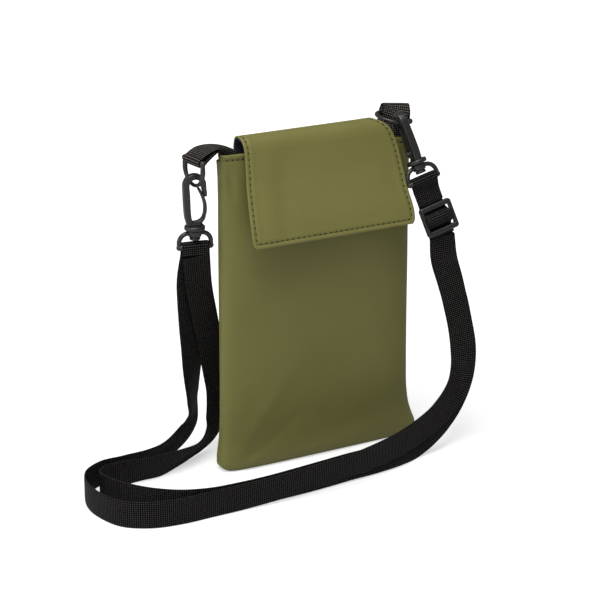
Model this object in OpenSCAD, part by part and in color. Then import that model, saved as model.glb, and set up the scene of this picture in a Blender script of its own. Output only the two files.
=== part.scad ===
// Flat phone pouch with a stitched fold-over flap, two swivel clips and a webbing strap.
// Millimetres. Origin: centre of the base on the floor. Front is -Y, right is +X, up is +Z.

/* [Pouch] */
// Height of the pouch's back up to the root of the flap
body_h = 185; // [140:1:240]
// How much higher the front panel's mouth is at its left corner than at its right
front_rise = 4.2; // [2:0.2:5]
// Width over the side seams at the waist
body_w = 123.4; // [100:0.2:160]
// Front to back depth at the waist
body_t = 18.5; // [15:0.5:30]
// Thickness of the coated shell with its backing
shell_t = 1; // [0.7:0.1:1.5]
// Thickness of the lining
lining_t = 0.5; // [0.3:0.1:0.8]
// Air between shell and lining
lining_gap = 0.2; // [0.1:0.05:0.4]
// Height of the turned-in band inside the front mouth
facing_h = 12; // [8:1:20]
// Thickness of that band
facing_t = 0.8; // [0.5:0.1:1.2]
// Diameter of each magnet disc
magnet_d = 14; // [10:1:18]
// Thickness of each magnet disc
magnet_t = 2; // [1.5:0.1:3]

/* [Flap] */
// Rise of the flap's top fold over the mouth
flap_rise = 12.4; // [9:0.2:18]
// Reach of the flap in front of the pouch's middle plane
flap_reach = 24.8; // [20:0.2:32]
// Drop of the flap's front from its front fold
flap_drop_l = 55; // [40:1:70]
// Distance of the flap's left edge inside the pouch's side, at the top
flap_left_in = 12.2; // [10:0.2:20]
// Distance of the flap's right edge inside the pouch's side, at the top
flap_right_in = 20.7; // [19:0.1:28]
// Thickness of the flap's outer layer
flap_t = 1.2; // [0.8:0.1:1.6]

/* [Strap] */
// Width of the webbing
strap_w = 15.5; // [14:0.1:16]
// Thickness of the webbing
strap_t = 1.4; // [1.1:0.1:1.5]

/* [Clips] */
// Diameter of the eye's bar inside the webbing fold
eye_bar_d = 3.4; // [3:0.1:3.6]
// Clear width inside the eye
eye_in_w = 16.1; // [15.9:0.1:17]
// Diameter of the eye's side limbs
eye_limb_d = 2.2; // [1.8:0.1:2.6]
// Diameter of the swivel post
post_d = 4; // [3:0.1:4.4]
// Running clearance of pins and bars in their holes, on the radius
run_gap = 0.1; // [0.05:0.01:0.1]
// Diameter of the hook's collar
collar_d = 11.8; // [10:0.1:13]
// Height of the hook's top over the eye's bar
hook_top = 42; // [40:0.5:44]
// Outer width of the hook
hook_w = 13; // [12:0.1:14]
// Width of the hook's spine and nose
hook_limb = 3.2; // [2.8:0.1:3.4]
// Thickness of the hook across its plane
hook_t = 4.2; // [3.4:0.1:4.6]
// Thickness of the gate's leaf
gate_t = 1.3; // [1:0.1:1.5]
// Opening swing of the gate in use, in degrees
gate_swing = 17; // [8:1:17]

/* [Rings and slider] */
// Diameter of the ring's wire
wire_d = 2.5; // [2.2:0.1:2.6]
// Width of the ring over its bar ends
ring_w = 20.8; // [20:0.1:22]
// Depth of the ring from its bar to its far limb, between centrelines
ring_deep = 14; // [13:0.1:15]
// Width of the slider
slider_w = 20.4; // [19.6:0.1:21]
// Length of the slider along the strap
slider_l = 18; // [17:0.1:20]
// Thickness of the slider's frame
slider_t = 3.5; // [3:0.1:4]
// Diameter of the slider's middle bar
slider_bar_d = 2; // [1.6:0.1:2.2]

/* [Hidden] */
$fn = 48;
eps = 0.001;
half_w = body_w / 2;
half_t = body_t / 2;
front_h = body_h + front_rise / 2;
flap_left = half_w - flap_left_in;
flap_right = half_w - flap_right_in;
black = [0.07, 0.07, 0.075];
olive = [0.42, 0.41, 0.24];
navy = [0.06, 0.08, 0.16];
steel = [0.6, 0.6, 0.6];

// Vector and frame helpers
function unit(v) = v / norm(v);
function off_axis(v, a) = unit(v - (v * a) * a);
function place(o, x, y, z) = [
    [x[0], y[0], z[0], o[0]],
    [x[1], y[1], z[1], o[1]],
    [x[2], y[2], z[2], o[2]],
    [0, 0, 0, 1]];
function last(v) = v[len(v) - 1];
function lerp(a, b, s) = a + (b - a) * s;

// A closed solid between an outer and an inner grid of points, rows by columns.
// The quads are cut along one diagonal on the left half and along the other on the right.
function quad(a, nc, flip) = flip
    ? [[a, a + 1, a + nc], [a + 1, a + nc + 1, a + nc]]
    : [[a, a + 1, a + nc + 1], [a, a + nc + 1, a + nc]];
function skin_faces(nr, nc) =
    let(k = nr * nc)
    concat(
        [for (i = [0:nr - 2], j = [0:nc - 2])
            each quad(i * nc + j, nc, j > nc / 2 - 1)],
        [for (i = [0:nr - 2], j = [0:nc - 2])
            each [for (t = quad(k + i * nc + j, nc, j > nc / 2 - 1)) [t[0], t[2], t[1]]]],
        [for (j = [0:nc - 2]) let(a = j)
            each [[a, a + k, a + k + 1], [a, a + k + 1, a + 1]]],
        [for (j = [0:nc - 2]) let(a = (nr - 1) * nc + j)
            each [[a, a + 1, a + k + 1], [a, a + k + 1, a + k]]],
        [for (i = [0:nr - 2]) let(a = i * nc)
            each [[a, a + nc, a + nc + k], [a, a + nc + k, a + k]]],
        [for (i = [0:nr - 2]) let(a = i * nc + nc - 1)
            each [[a, a + k, a + nc + k], [a, a + nc + k, a + nc]]]);
module skin(outer, inner, turn = false) {
    nr = len(outer);
    nc = len(outer[0]);
    pts = concat([for (r = outer) each r], [for (r = inner) each r]);
    f = skin_faces(nr, nc);
    polyhedron(pts, turn ? [for (t = f) [t[0], t[2], t[1]]] : f, convexity = 8);
}

// Pouch rows as shares: height, left half width, right half width, front depth,
// back depth and the squareness of the section
pouch_shares = [
    [0, 0.985, 0.985, 0.70, 0.70, 4.5],
    [0.0045, 1.010, 1.005, 0.82, 0.82, 4.5],
    [0.014, 1.040, 1.070, 0.90, 0.90, 4.4],
    [0.032, 1.050, 1.090, 0.94, 0.93, 4.2],
    [0.058, 1.044, 1.062, 0.97, 0.95, 4.0],
    [0.095, 1.030, 1.022, 0.99, 0.96, 3.8],
    [0.150, 1.020, 0.995, 1.01, 0.97, 3.5],
    [0.240, 1.016, 0.988, 1.03, 0.98, 3.2],
    [0.350, 1.016, 0.986, 1.05, 0.98, 3.0],
    [0.470, 1.016, 0.986, 1.05, 0.98, 2.9],
    [0.590, 1.016, 0.986, 1.04, 0.97, 2.9],
    [0.700, 1.016, 0.986, 0.98, 0.94, 2.9],
    [0.780, 1.014, 0.986, 0.88, 0.91, 3.0],
    [0.850, 1.011, 0.986, 0.74, 0.88, 3.2],
    [0.905, 1.008, 0.988, 0.62, 0.86, 3.6],
    [0.950, 1.004, 0.990, 0.52, 0.84, 4.6],
    [0.980, 1.002, 0.992, 0.46, 0.83, 6.0],
    [1, 1, 0.994, 0.43, 0.822, 8]];
pouch_cols = 24;
wall_angles = [for (j = [0:pouch_cols]) 180 * j / pouch_cols];
function row_at(h) =
    let(t = pouch_shares, n = len(t) - 1,
        i = max([for (k = [0:n - 1]) t[k][0] <= h ? k : 0]),
        s = (h - t[i][0]) / (t[i + 1][0] - t[i][0]))
    lerp(t[i], t[i + 1], min(1, max(0, s)));
// Point of the wall at height share h and column angle a, moved inwards by inset
function wall_point(h, a, side, inset) =
    let(r = row_at(h),
        wl = r[1] * half_w - inset,
        wr = r[2] * half_w - inset,
        d = (side < 0 ? r[3] : r[4]) * half_t - inset,
        c = cos(a),
        s = sin(a),
        x = (c < 0 ? -wl : wr) * pow(abs(c), 2 / r[5]),
        y = d * pow(abs(s), 2 / r[5]),
        top = side < 0 ? front_h - x / half_w * front_rise / 2 : body_h)
    [x, side * y, inset + h * (top - inset)];
bottom_in_share = 0.97;
function bottom_point(a, inset) =
    let(r = pouch_shares[0], c = cos(a), w = (c < 0 ? -r[1] : r[2]) * half_w)
    [(w - sign(w) * inset) * bottom_in_share * pow(abs(c), 2 / r[5]), 0, inset];
function wall_rows(side, inset, rows) = concat(
    [[for (a = wall_angles) bottom_point(a, inset)]],
    [for (h = rows) [for (a = wall_angles) wall_point(h, a, side, inset)]]);
all_rows = [for (r = pouch_shares) r[0]];
lining_rows = [for (r = pouch_shares) if (r[0] < 0.93) r[0]];
back_lining_rows = concat(lining_rows, [0.95, 0.985]);
module panel(side) {
    skin(wall_rows(side, 0, all_rows), wall_rows(side, shell_t, all_rows), side > 0);
}

// The lining bulges round the magnet that is caught behind it
magnet_h_share = 0.8125;
magnet_z = magnet_h_share * front_h;
magnet_r = magnet_d / 2;
function bulge(r) = (magnet_t + lining_gap * 3) / (1 + pow(r / (magnet_r * 1.5), 6));
lining_angles = concat([for (a = wall_angles) if (a < 85) a],
    [85.2, 86.4, 87.55, 89.1, 90, 90.9, 92.45, 93.6, 94.8],
    [for (a = wall_angles) if (a > 95) a]);
function lining_rows_at(side, inset, rows) = concat(
    [[for (a = lining_angles) bottom_point(a, inset)]],
    [for (h = rows) [for (a = lining_angles)
        let(p = wall_point(h, a, side, inset))
        side < 0 ? p + [0, bulge(norm([p[0], p[2] - magnet_z])), 0] : p]]);
lining_out = shell_t + lining_gap;
magnet_shares = [0.74, 0.755, 0.79, 0.8125, 0.835, 0.859];
facing_low = 1 - facing_h / front_h;
facing_step_share = 0.03;
front_lining_rows = concat(
    [for (h = concat([for (h = lining_rows) if (h < magnet_shares[0]) h], magnet_shares))
        if (h < facing_low - facing_step_share) h],
    [facing_low - facing_step_share, facing_low - facing_step_share / 3]);
module lining(side, rows) {
    skin(lining_rows_at(side, lining_out, rows),
        lining_rows_at(side, lining_out + lining_t, rows), side > 0);
}
facing_rows = [for (k = [0:4]) lerp(facing_low, 1, k / 4)];
facing_gap = lining_gap / 4;
function band_rows(inset) = [for (h = facing_rows)
    [for (a = wall_angles) if (a > 7 && a < 173) wall_point(h, a, -1, inset)]];

// Flap profile as shares: forward place of the flap's reach, height over the mouth as a
// share of the rise, then left and right half widths as shares of those at the top
bridge_shares = [
    [-0.306, 0, 0.99, 1], [-0.308, 0.22, 0.995, 1], [-0.303, 0.45, 1, 1],
    [-0.285, 0.66, 1, 1], [-0.245, 0.85, 1, 1], [-0.180, 0.965, 1, 1],
    [-0.100, 1, 1, 1], [-0.010, 0.985, 1, 1], [0.080, 0.93, 1, 1],
    [0.150, 0.85, 1, 1], [0.202, 0.73, 1, 1]];
fold_z = body_h + last(bridge_shares)[1] * flap_rise;
fold_y = -last(bridge_shares)[0] * flap_reach;
// Drop rows: forward place as a share of the reach, fall as a share of the drop's length
drop_shares = [
    [0.202, 0, 1, 1], [0.262, 0.055, 1, 1.01], [0.305, 0.12, 1.005, 1.03],
    [0.350, 0.19, 1.01, 1.07], [0.410, 0.28, 1.02, 1.13], [0.490, 0.39, 1.035, 1.175],
    [0.590, 0.50, 1.05, 1.205], [0.645, 0.56, 1.057, 1.212], [0.700, 0.62, 1.063, 1.218],
    [0.755, 0.68, 1.069, 1.223], [0.810, 0.74, 1.074, 1.228], [0.860, 0.80, 1.077, 1.232],
    [0.905, 0.86, 1.080, 1.236], [0.950, 0.925, 1.074, 1.228],
    [0.980, 0.970, 1.040, 1.185], [1, 1, 0.960, 1.090]];
function profile_bridge() = [for (r = bridge_shares)
    [-r[0] * flap_reach, body_h + r[1] * flap_rise]];
function profile_drop() = [for (r = drop_shares)
    [-r[0] * flap_reach, fold_z - r[1] * flap_drop_l]];
function turn_at(p, i) =
    let(t = unit(p[min(i + 1, len(p) - 1)] - p[max(i - 1, 0)]))
    [-t[1], t[0]];
function inset_profile(p, n_first, n_last, d) = [for (i = [0:len(p) - 1])
    p[i] + d * (i == 0 ? n_first : i == len(p) - 1 ? n_last : turn_at(p, i))];
magnet_room = magnet_d * 0.8;
function flap_xs(l, r) = concat([for (k = [0:4]) lerp(-l, -magnet_room, k / 5)],
    [for (k = [0:8]) lerp(-magnet_room, magnet_room, k / 8)],
    [for (k = [1:5]) lerp(magnet_room, r, k / 5)]);
function flap_rows(p, shares, edge_in) = [for (i = [0:len(p) - 1])
    [for (x = flap_xs(shares[i][2] * flap_left - edge_in, shares[i][3] * flap_right - edge_in))
        [x, p[i][0], p[i][1]]]];
root_turn = [-1, 0];
drop_end_turn = turn_at(profile_drop(), len(drop_shares) - 1);
// The end rows share one direction, so the two halves of the flap meet face to face
fold_in = turn_at([profile_bridge()[len(bridge_shares) - 2], last(profile_bridge()),
    profile_drop()[1]], 1);
module bridge_skin(d0, d1, edge_in) {
    p = profile_bridge();
    a = inset_profile(p, root_turn, fold_in, d0);
    b = inset_profile(p, root_turn, fold_in, d1);
    skin(flap_rows(a, bridge_shares, edge_in), flap_rows(b, bridge_shares, edge_in));
}
module drop_skin(d0, d1) {
    p = profile_drop();
    a = inset_profile(p, fold_in, drop_end_turn, d0);
    b = inset_profile(p, fold_in, drop_end_turn, d1);
    skin(flap_rows(a, drop_shares, 0), flap_rows(b, drop_shares, 0));
}
// The flap's lining stops one row short of the edge and bulges round its magnet
drop_mid = 9;
drop_a = profile_drop()[drop_mid];
drop_n = turn_at(profile_drop(), drop_mid);
drop_dir = [0, drop_n[0], drop_n[1]];
function bulged(rows, p) = [for (i = [0:len(rows) - 1]) [for (q = rows[i])
    q + drop_dir * bulge(norm([q[0], norm(p[i] - drop_a)]))]];
module drop_lining_skin(d0, d1) {
    p = profile_drop();
    n = len(p) - 2;
    sh = [for (i = [0:n]) drop_shares[i]];
    a = inset_profile(p, fold_in, drop_end_turn, d0);
    b = inset_profile(p, fold_in, drop_end_turn, d1);
    skin(bulged(flap_rows([for (i = [0:n]) a[i]], sh, flap_edge_in), p),
        bulged(flap_rows([for (i = [0:n]) b[i]], sh, flap_edge_in), p));
}
flap_lining_in = flap_t + lining_gap / 2;
flap_edge_in = lining_gap * 10;

// The rings hang at the top corners, the clips from the rings, the slider below its clip
left_bar_at = [-half_w - ring_w * 0.74, half_t * 0.108, body_h + wire_d];
right_bar_at = [half_w - strap_w * 0.342, half_t * 0.67, body_h + wire_d * 3.92];
left_eye_shares = [0, 0.006, -1.178];
right_eye_shares = [0.102, -0.582, -0.773];
slider_shares = [0.351, -0.385, -1.227];
left_eye_at = left_bar_at + left_eye_shares * hook_top;
right_eye_at = right_bar_at + right_eye_shares * hook_top;
slider_at = right_eye_at + slider_shares * slider_l;
left_x = unit([0.982, -0.19, 0]);
left_z = [0, 0, 1];
left_y = cross(left_z, left_x);
left_clip = place(left_eye_at, left_x, left_y, left_z);

right_x = unit([0.955, -0.09, 0.28]);
right_z = off_axis([-0.249, 0.358, 0.9], right_x);
right_y = cross(right_z, right_x);
right_clip = place(right_eye_at, right_x, right_y, right_z);
right_hook_turn = 92;

ring_bar_r = wire_d / 2;
left_bar = unit([0.1, -0.995, 0]);
left_hang = [0, 0, -1];
left_ring_frame = place(left_bar_at, left_bar, left_hang, cross(left_bar, left_hang));
right_bar = unit([0.51, -0.84, -0.18]);
right_lie = off_axis([-0.84, -0.5, 0.1], right_bar);
right_ring_frame = place(right_bar_at, right_bar, right_lie, cross(right_bar, right_lie));

// Ring: bar along X, far limb along +Y, all round wire
module ring() {
    r = (ring_w - wire_d) / 2;
    straight = ring_deep - r;
    knob_r = wire_d * 0.68;
    rotate([0, 90, 0]) cylinder(h = 2 * r, r = ring_bar_r, center = true);
    for (s = [-1, 1]) {
        translate([s * r, 0, 0]) sphere(r = knob_r);
        translate([s * r, 0, 0]) rotate([-90, 0, 0]) cylinder(h = straight, r = ring_bar_r);
    }
    translate([0, straight, 0]) rotate_extrude(angle = 180)
        translate([r, 0]) circle(r = ring_bar_r);
}

// Clip pieces: eye bar along X at the origin, hook towards +Z, spine at -X, gate at +X
eye_r = eye_limb_d / 2;
eye_x = eye_in_w / 2 + eye_r;
eye_bend = eye_in_w / 4;
eye_top = hook_top * 0.195;
boss_low = hook_top * 0.14;
boss_top = hook_top * 0.229;
boss_r = post_d * 0.9;
module clip_eye() {
    difference() {
        union() {
            rotate([0, 90, 0]) cylinder(h = 2 * eye_x, d = eye_bar_d, center = true);
            for (s = [-1, 1]) {
                translate([s * eye_x, 0, 0]) sphere(d = eye_bar_d * 0.95);
                translate([s * eye_x, 0, 0]) cylinder(h = eye_top - eye_bend, r = eye_r);
                translate([s * (eye_x - eye_bend), 0, eye_top - eye_bend])
                    rotate([90, 0, s > 0 ? 0 : 180])
                    rotate_extrude(angle = 90) translate([eye_bend, 0]) circle(r = eye_r);
            }
            translate([0, 0, eye_top]) rotate([0, 90, 0])
                cylinder(h = 2 * (eye_x - eye_bend), r = eye_r, center = true);
            translate([0, 0, boss_low]) cylinder(h = boss_top - boss_low, r = boss_r);
        }
        translate([0, 0, boss_low / 2]) cylinder(h = boss_top, r = post_d / 2 + run_gap);
    }
}
collar_low = boss_top + run_gap * 2;
collar_top = hook_top * 0.295;
base_top = hook_top * 0.424;
nose_low = hook_top * 0.714;
arc_z = hook_top - hook_w / 2;
head_low = hook_top * 0.097;
head_top = boss_low - run_gap * 2;
throat_r = hook_w / 2 - hook_limb;
module hook_outline() {
    difference() {
        union() {
            translate([0, arc_z]) circle(d = hook_w);
            translate([-hook_w / 2, base_top]) square([hook_w, arc_z - base_top]);
            translate([0, base_top - hook_w * 0.16]) scale([1, 0.42]) circle(d = hook_w);
            translate([-hook_w * 0.44, collar_top - eps])
                square([hook_w * 0.88, base_top - collar_top + eps]);
        }
        translate([0, arc_z]) circle(r = throat_r);
        translate([-throat_r, base_top]) square([2 * throat_r, arc_z - base_top]);
        translate([0, base_top]) square([hook_w, nose_low - base_top]);
        translate([-hook_w, collar_top - hook_w]) square([2 * hook_w, hook_w]);
    }
}
module clip_hook() {
    translate([0, hook_t / 2, 0]) rotate([90, 0, 0])
        linear_extrude(height = hook_t) hook_outline();
    translate([0, 0, collar_low]) cylinder(h = collar_top - collar_low + eps, d = collar_d);
    translate([0, 0, head_top - eps]) cylinder(h = collar_low - head_top + 2 * eps, d = post_d);
    translate([0, 0, head_low]) cylinder(h = head_top - head_low, d = post_d * 1.55);
}
gate_root = [hook_w * 0.354, base_top + gate_t / 2 + run_gap];
gate_tip = [hook_w * 0.152, hook_top * 0.774];
gate_w = hook_t * 0.9;
module clip_gate() {
    lean = gate_tip - gate_root;
    l = norm(lean);
    tilt = atan2(lean[1], lean[0]);
    translate([0, gate_w / 2, 0]) rotate([90, 0, 0]) linear_extrude(height = gate_w) {
        translate(gate_root) rotate(tilt) translate([0, -gate_t / 2]) square([l, gate_t]);
        translate(gate_root) circle(d = gate_t);
        translate(gate_tip) circle(d = gate_t);
    }
}

// A band of webbing drawn from the side as a centreline with a thickness
function side_turn(p, i) =
    let(a = unit(p[i] - p[max(i - 1, 0)] + (i == 0 ? p[1] - p[0] : [0, 0])),
        b = i == len(p) - 1 ? a : unit(p[i + 1] - p[i]),
        m = unit(a + b))
    [-m[1], m[0]] / max(0.5, m * a);
module side_band(p, t) {
    polygon(concat(
        [for (i = [0:len(p) - 1]) p[i] + side_turn(p, i) * t / 2],
        [for (i = [len(p) - 1:-1:0]) p[i] - side_turn(p, i) * t / 2]));
}
fold_bore = eye_bar_d / 2 + run_gap;
leg_y = fold_bore + strap_t / 2;
leg_l = strap_w * 0.29;

// Slider frame: X across the strap, Y down the strap, Z out of its front
slider_y = off_axis(slider_at - right_eye_at, right_x);
slider_x = -right_x;
slider_z = cross(slider_x, slider_y);
strap_side = strap_w * 0.039;
slider_frame = place(slider_at, slider_x, slider_y, slider_z);
eye_run = (slider_at - right_eye_at) * slider_y;
eye_rise = (right_eye_at - slider_at) * slider_z;
slider_rail = slider_w * 0.083;
slider_end = slider_l / 6;
module slider_body() {
    translate([0, 0, -slider_t / 2]) linear_extrude(height = slider_t) difference() {
        hull() for (x = [-1, 1], y = [-1, 1])
            translate([x * (slider_w / 2 - slider_rail), y * (slider_l / 2 - slider_rail)])
                circle(r = slider_rail, $fn = 32);
        square([slider_w - 2 * slider_rail, slider_l - 2 * slider_end], center = true);
    }
    rotate([0, 90, 0])
        cylinder(h = slider_w - slider_rail, d = slider_bar_d, center = true);
}
loop_bore = slider_bar_d / 2 + run_gap / 2;
loop_r = loop_bore + strap_t;
over_r = loop_r + run_gap * 1.5 + strap_t / 2;
under_z = slider_t / 2 + run_gap / 2 + strap_t / 2;
dive_y = over_r * cos(30) + (over_r * sin(30) + under_z) * tan(30);
exit_y = slider_l * 0.6;
far_z = under_z + strap_t + run_gap * 2.5;
sewn_y = slider_l * 0.57;
near_pass = concat(
    [[-slider_l * 0.66, -under_z], [-dive_y, -under_z]],
    [for (a = [150:-20:30]) over_r * [cos(a), sin(a)]],
    [[dive_y, -under_z], [exit_y, -under_z]]);
far_pass = [[loop_r * 0.5, -loop_bore - strap_t * 0.62],
    [dive_y * 0.82, -far_z - run_gap * 2], [dive_y * 1.18, -far_z], [exit_y, -far_z]];
neck_z = strap_t * 0.54 - under_z;
function around(at, r, from, to, step) =
    [for (a = [from:step:to]) at + r * [cos(a), sin(a)]];
module strap_across(side) {
    translate([side - strap_w / 2, 0, 0]) rotate([90, 0, 90])
        linear_extrude(height = strap_w) children();
}

// Swept webbing: a flat band with eased edges, one ring for each point of its path
band_shares = [[0.5, 0.24], [0.465, 0.5], [-0.465, 0.5], [-0.5, 0.24],
    [-0.5, -0.24], [-0.465, -0.5], [0.465, -0.5], [0.5, -0.24]];
function path_dir(p, i, first, end) =
    i == 0 ? first : i == len(p) - 1 ? end : unit(unit(p[i + 1] - p[i]) + unit(p[i] - p[i - 1]));
module band(p, across, first, end, t) {
    n = len(p);
    m = len(band_shares);
    pts = [for (i = [0:n - 1])
        let(d = path_dir(p, i, first, end), x = off_axis(across[i], d), z = cross(x, d))
        each [for (s = band_shares) p[i] + x * s[0] * strap_w + z * s[1] * t]];
    faces = concat(
        [[for (k = [m - 1:-1:0]) k]],
        [[for (k = [0:m - 1]) (n - 1) * m + k]],
        [for (i = [0:n - 2], k = [0:m - 1])
            let(a = i * m + k, b = i * m + (k + 1) % m)
            each [[a, b, b + m], [a, b + m, a + m]]]);
    polyhedron(pts, faces, convexity = 10);
}

// Strap routes from the slider round to the left clip, each point with its across direction
near_route = [
    [71, -26, 115.5], [75, -27, 101], [78, -28, 88], [81, -29, 74], [82.5, -30, 61],
    [82.5, -31, 48.5], [79.5, -32, 37.5], [72, -33.5, 28.5], [61, -37, 22],
    [46.5, -41.5, 17.5], [30, -47, 15], [13, -51.5, 13.8], [-4, -55, 13],
    [-23, -56.5, 12], [-42, -57, 10.7], [-60, -56, 9.2], [-79, -55, 8.2],
    [-97, -54.8, 8], [-115, -54.8, 8], [-132.5, -51.2, 8], [-145, -42.3, 8],
    [-151, -27, 8], [-151.5, -9.5, 8], [-146, 4.5, 8], [-134, 13.5, 8],
    [-118, 17.5, 8], [-102, 22.5, 7.6], [-86.5, 28.5, 7.5], [-74, 35, 8.7],
    [-66, 38, 13.5], [-63.5, 36.5, 22], [-64.5, 33, 35], [-67, 28, 52],
    [-69.5, 23, 68], [-72.5, 18.5, 85], [-75, 14, 102], [-77, 9, 118]];
near_across = [
    [0.97, -0.22, 0.15], [0.98, -0.20, 0.10], [0.98, -0.18, 0.03], [0.98, -0.17, 0],
    [0.98, -0.17, -0.07], [0.96, -0.15, -0.18], [0.93, -0.10, -0.32],
    [0.87, 0.02, -0.49], [0.74, 0.08, -0.66], [0.60, 0.10, -0.79], [0.48, 0.12, -0.87],
    [0.40, 0.16, -0.90], [0.34, 0.18, -0.92], [0.26, 0.18, -0.95], [0.16, 0.12, -0.98],
    [0.06, 0.06, -1], [0, 0, -1], [0, 0, -1], [0, 0, -1], [0, 0, -1], [0, 0, -1],
    [0, 0, -1], [0, 0, -1], [0, 0, -1], [0, 0.08, -1], [0.18, 0.40, -0.90],
    [0.36, 0.62, -0.70], [0.45, 0.60, -0.66], [0.46, 0.44, -0.77], [0.42, 0.42, -0.80],
    [0.42, 0.58, -0.68], [0.60, 0.62, -0.46], [0.78, 0.49, -0.39], [0.87, 0.34, -0.35],
    [0.90, 0.26, -0.30], [0.95, 0.15, -0.22], [0.98, 0, -0.12]];
far_route = [
    [72.5, -22.5, 114.5], [77, -23, 100], [81, -24, 86], [84, -25, 72], [85, -26, 65.5],
    [86, -27, 53], [84, -28, 40], [78, -29.5, 28], [68.5, -33, 19.5],
    [57.5, -36.5, 13.5], [46, -37.5, 7.8], [29, -43, 7.4], [13, -45.5, 7.4],
    [-5, -47, 7.6], [-22.5, -49, 7.7], [-40, -51, 8], [-60, -52, 8], [-79, -51.5, 8],
    [-96, -50, 8], [-111, -44.5, 8], [-123, -35, 8], [-132.5, -22.5, 8],
    [-138.5, -9, 8], [-139, 1, 8], [-133.5, 6, 8], [-123, 7.5, 8], [-111, 6.5, 8],
    [-99, 7, 8], [-86, 11, 7.6], [-72.5, 18, 7], [-60.5, 25.5, 9.5], [-52.5, 31, 15],
    [-49, 32, 24], [-49, 30.5, 36], [-53, 26.5, 52], [-59, 20.5, 71], [-65.5, 14, 91],
    [-72, 7, 111]];
far_across = [
    [0.97, -0.22, 0.15], [0.98, -0.20, 0.10], [0.98, -0.18, 0.03], [0.98, -0.17, 0],
    [0.98, -0.17, -0.07], [0.96, -0.15, -0.22], [0.91, -0.14, -0.38],
    [0.80, -0.14, -0.58], [0.62, -0.16, -0.77], [0.46, -0.24, -0.86],
    [0.36, -0.34, -0.87], [0.30, -0.42, -0.86], [0.25, -0.45, -0.86],
    [0.20, -0.42, -0.88], [0.14, -0.36, -0.92], [0.08, -0.24, -0.97], [0.04, -0.10, -1],
    [0, 0, -1], [0, 0, -1], [0, 0, -1], [0, 0, -1], [0, 0, -1], [0, 0, -1], [0, 0, -1],
    [0, 0, -1], [0, 0.05, -1], [0.15, 0.25, -0.93], [0.06, 0.25, -0.96],
    [-0.15, 0.42, -0.90], [-0.27, 0.50, -0.82], [0.30, 0.55, -0.78], [0.78, 0.35, -0.52],
    [0.90, 0.12, -0.40], [0.96, 0.06, -0.25], [0.98, 0.04, -0.16], [1, 0.02, -0.08],
    [1, 0, -0.04], [1, -0.03, -0.03]];
// The routes were drawn with the bars of the rings here. The rising ends follow the clips,
// and the run on the floor stays where it lies.
left_drawn = [-77.1, 1, 187.5];
right_drawn = [56.4, 6.2, 194.8];
lying_z = 20;
risen_z = 120;
function follow(p, shift) = p + shift * min(1, max(0, (p[2] - lying_z) / (risen_z - lying_z)));
function moved(route) = [for (p = route)
    follow(p, p[0] < 0 ? left_bar_at - left_drawn : right_bar_at - right_drawn)];
near_start = slider_at + exit_y * slider_y - under_z * slider_z + strap_side * slider_x;
far_start = slider_at + exit_y * slider_y - far_z * slider_z + strap_side * slider_x;
near_end = left_eye_at + leg_y * left_y - leg_l * left_z;
far_end = left_eye_at - leg_y * left_y - leg_l * left_z;
module strap(start, route, end, across) {
    band(concat([start], moved(route), [end]), concat([right_x], across, [left_x]),
        slider_y, left_z, strap_t);
}

// Tabs: a doubled band whose fold holds the ring's bar
tab_t = 2 * strap_t;
tab_bore = wire_d / 2 + run_gap;
tab_r = tab_bore + strap_t;
module tab_loop(at, axis, up) {
    multmatrix(place(at, axis, up, cross(axis, up))) rotate([0, 90, 0])
        cylinder(h = strap_w, r = tab_r, center = true);
}
module tab_hole(at, axis, up) {
    multmatrix(place(at, axis, up, cross(axis, up))) rotate([0, 90, 0])
        cylinder(h = 2 * strap_w, r = tab_bore, center = true);
}
right_up = off_axis([0, 0, 1], right_bar);
right_out = cross(right_up, right_bar);
left_tab_shares = [[0.058, 0, 0.29], [0.245, 0, 0.484], [0.51, 0, 0.542],
    [0.794, 0.013, 0.477], [1.116, 0.095, 0.32], [1.439, 0.135, 0.10],
    [1.677, 0.115, -0.355], [1.71, 0.09, -0.742]];
left_tab_path = concat([left_bar_at + tab_bore * 1.35 * left_z],
    [for (s = left_tab_shares) left_bar_at + s * strap_w]);
left_tab_across = [[0.1, -0.995, 0], [0.1, -0.995, 0], [0.1, -0.99, 0], [0.06, -0.99, 0.1],
    [-0.3, -0.90, 0.3], [-0.7, -0.55, 0.45], [-1, 0, 0.3], [-1, 0, 0], [-1, 0, 0]];
right_loop_shares = [[0.219, 0.019], [0.335, 0.123], [0.323, 0.271], [0.181, 0.361],
    [-0.065, 0.335]];
right_root_shares = [[0.01, -0.026, -0.36], [-0.43, -0.18, -0.63],
    [-0.45, -0.258, -1.148]];
right_tab_path = concat([right_bar_at + tab_bore * 1.35 * right_up],
    [for (s = right_loop_shares)
        right_bar_at + (s[0] * right_up + s[1] * right_out) * strap_w],
    [for (s = right_root_shares) right_bar_at + s * strap_w]);
right_tab_across = [right_bar, right_bar, right_bar, right_bar, [0.56, -0.82, -0.1],
    [0.7, -0.7, 0], [0.88, -0.45, 0], [1, -0.1, 0], [1, 0, 0]];
module tab(path, across, first, axis, up, at) {
    difference() {
        union() {
            band(path, across, first, unit(last(path) - path[len(path) - 2]), tab_t);
            tab_loop(at, axis, up);
        }
        tab_hole(at, axis, up);
    }
}

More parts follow.
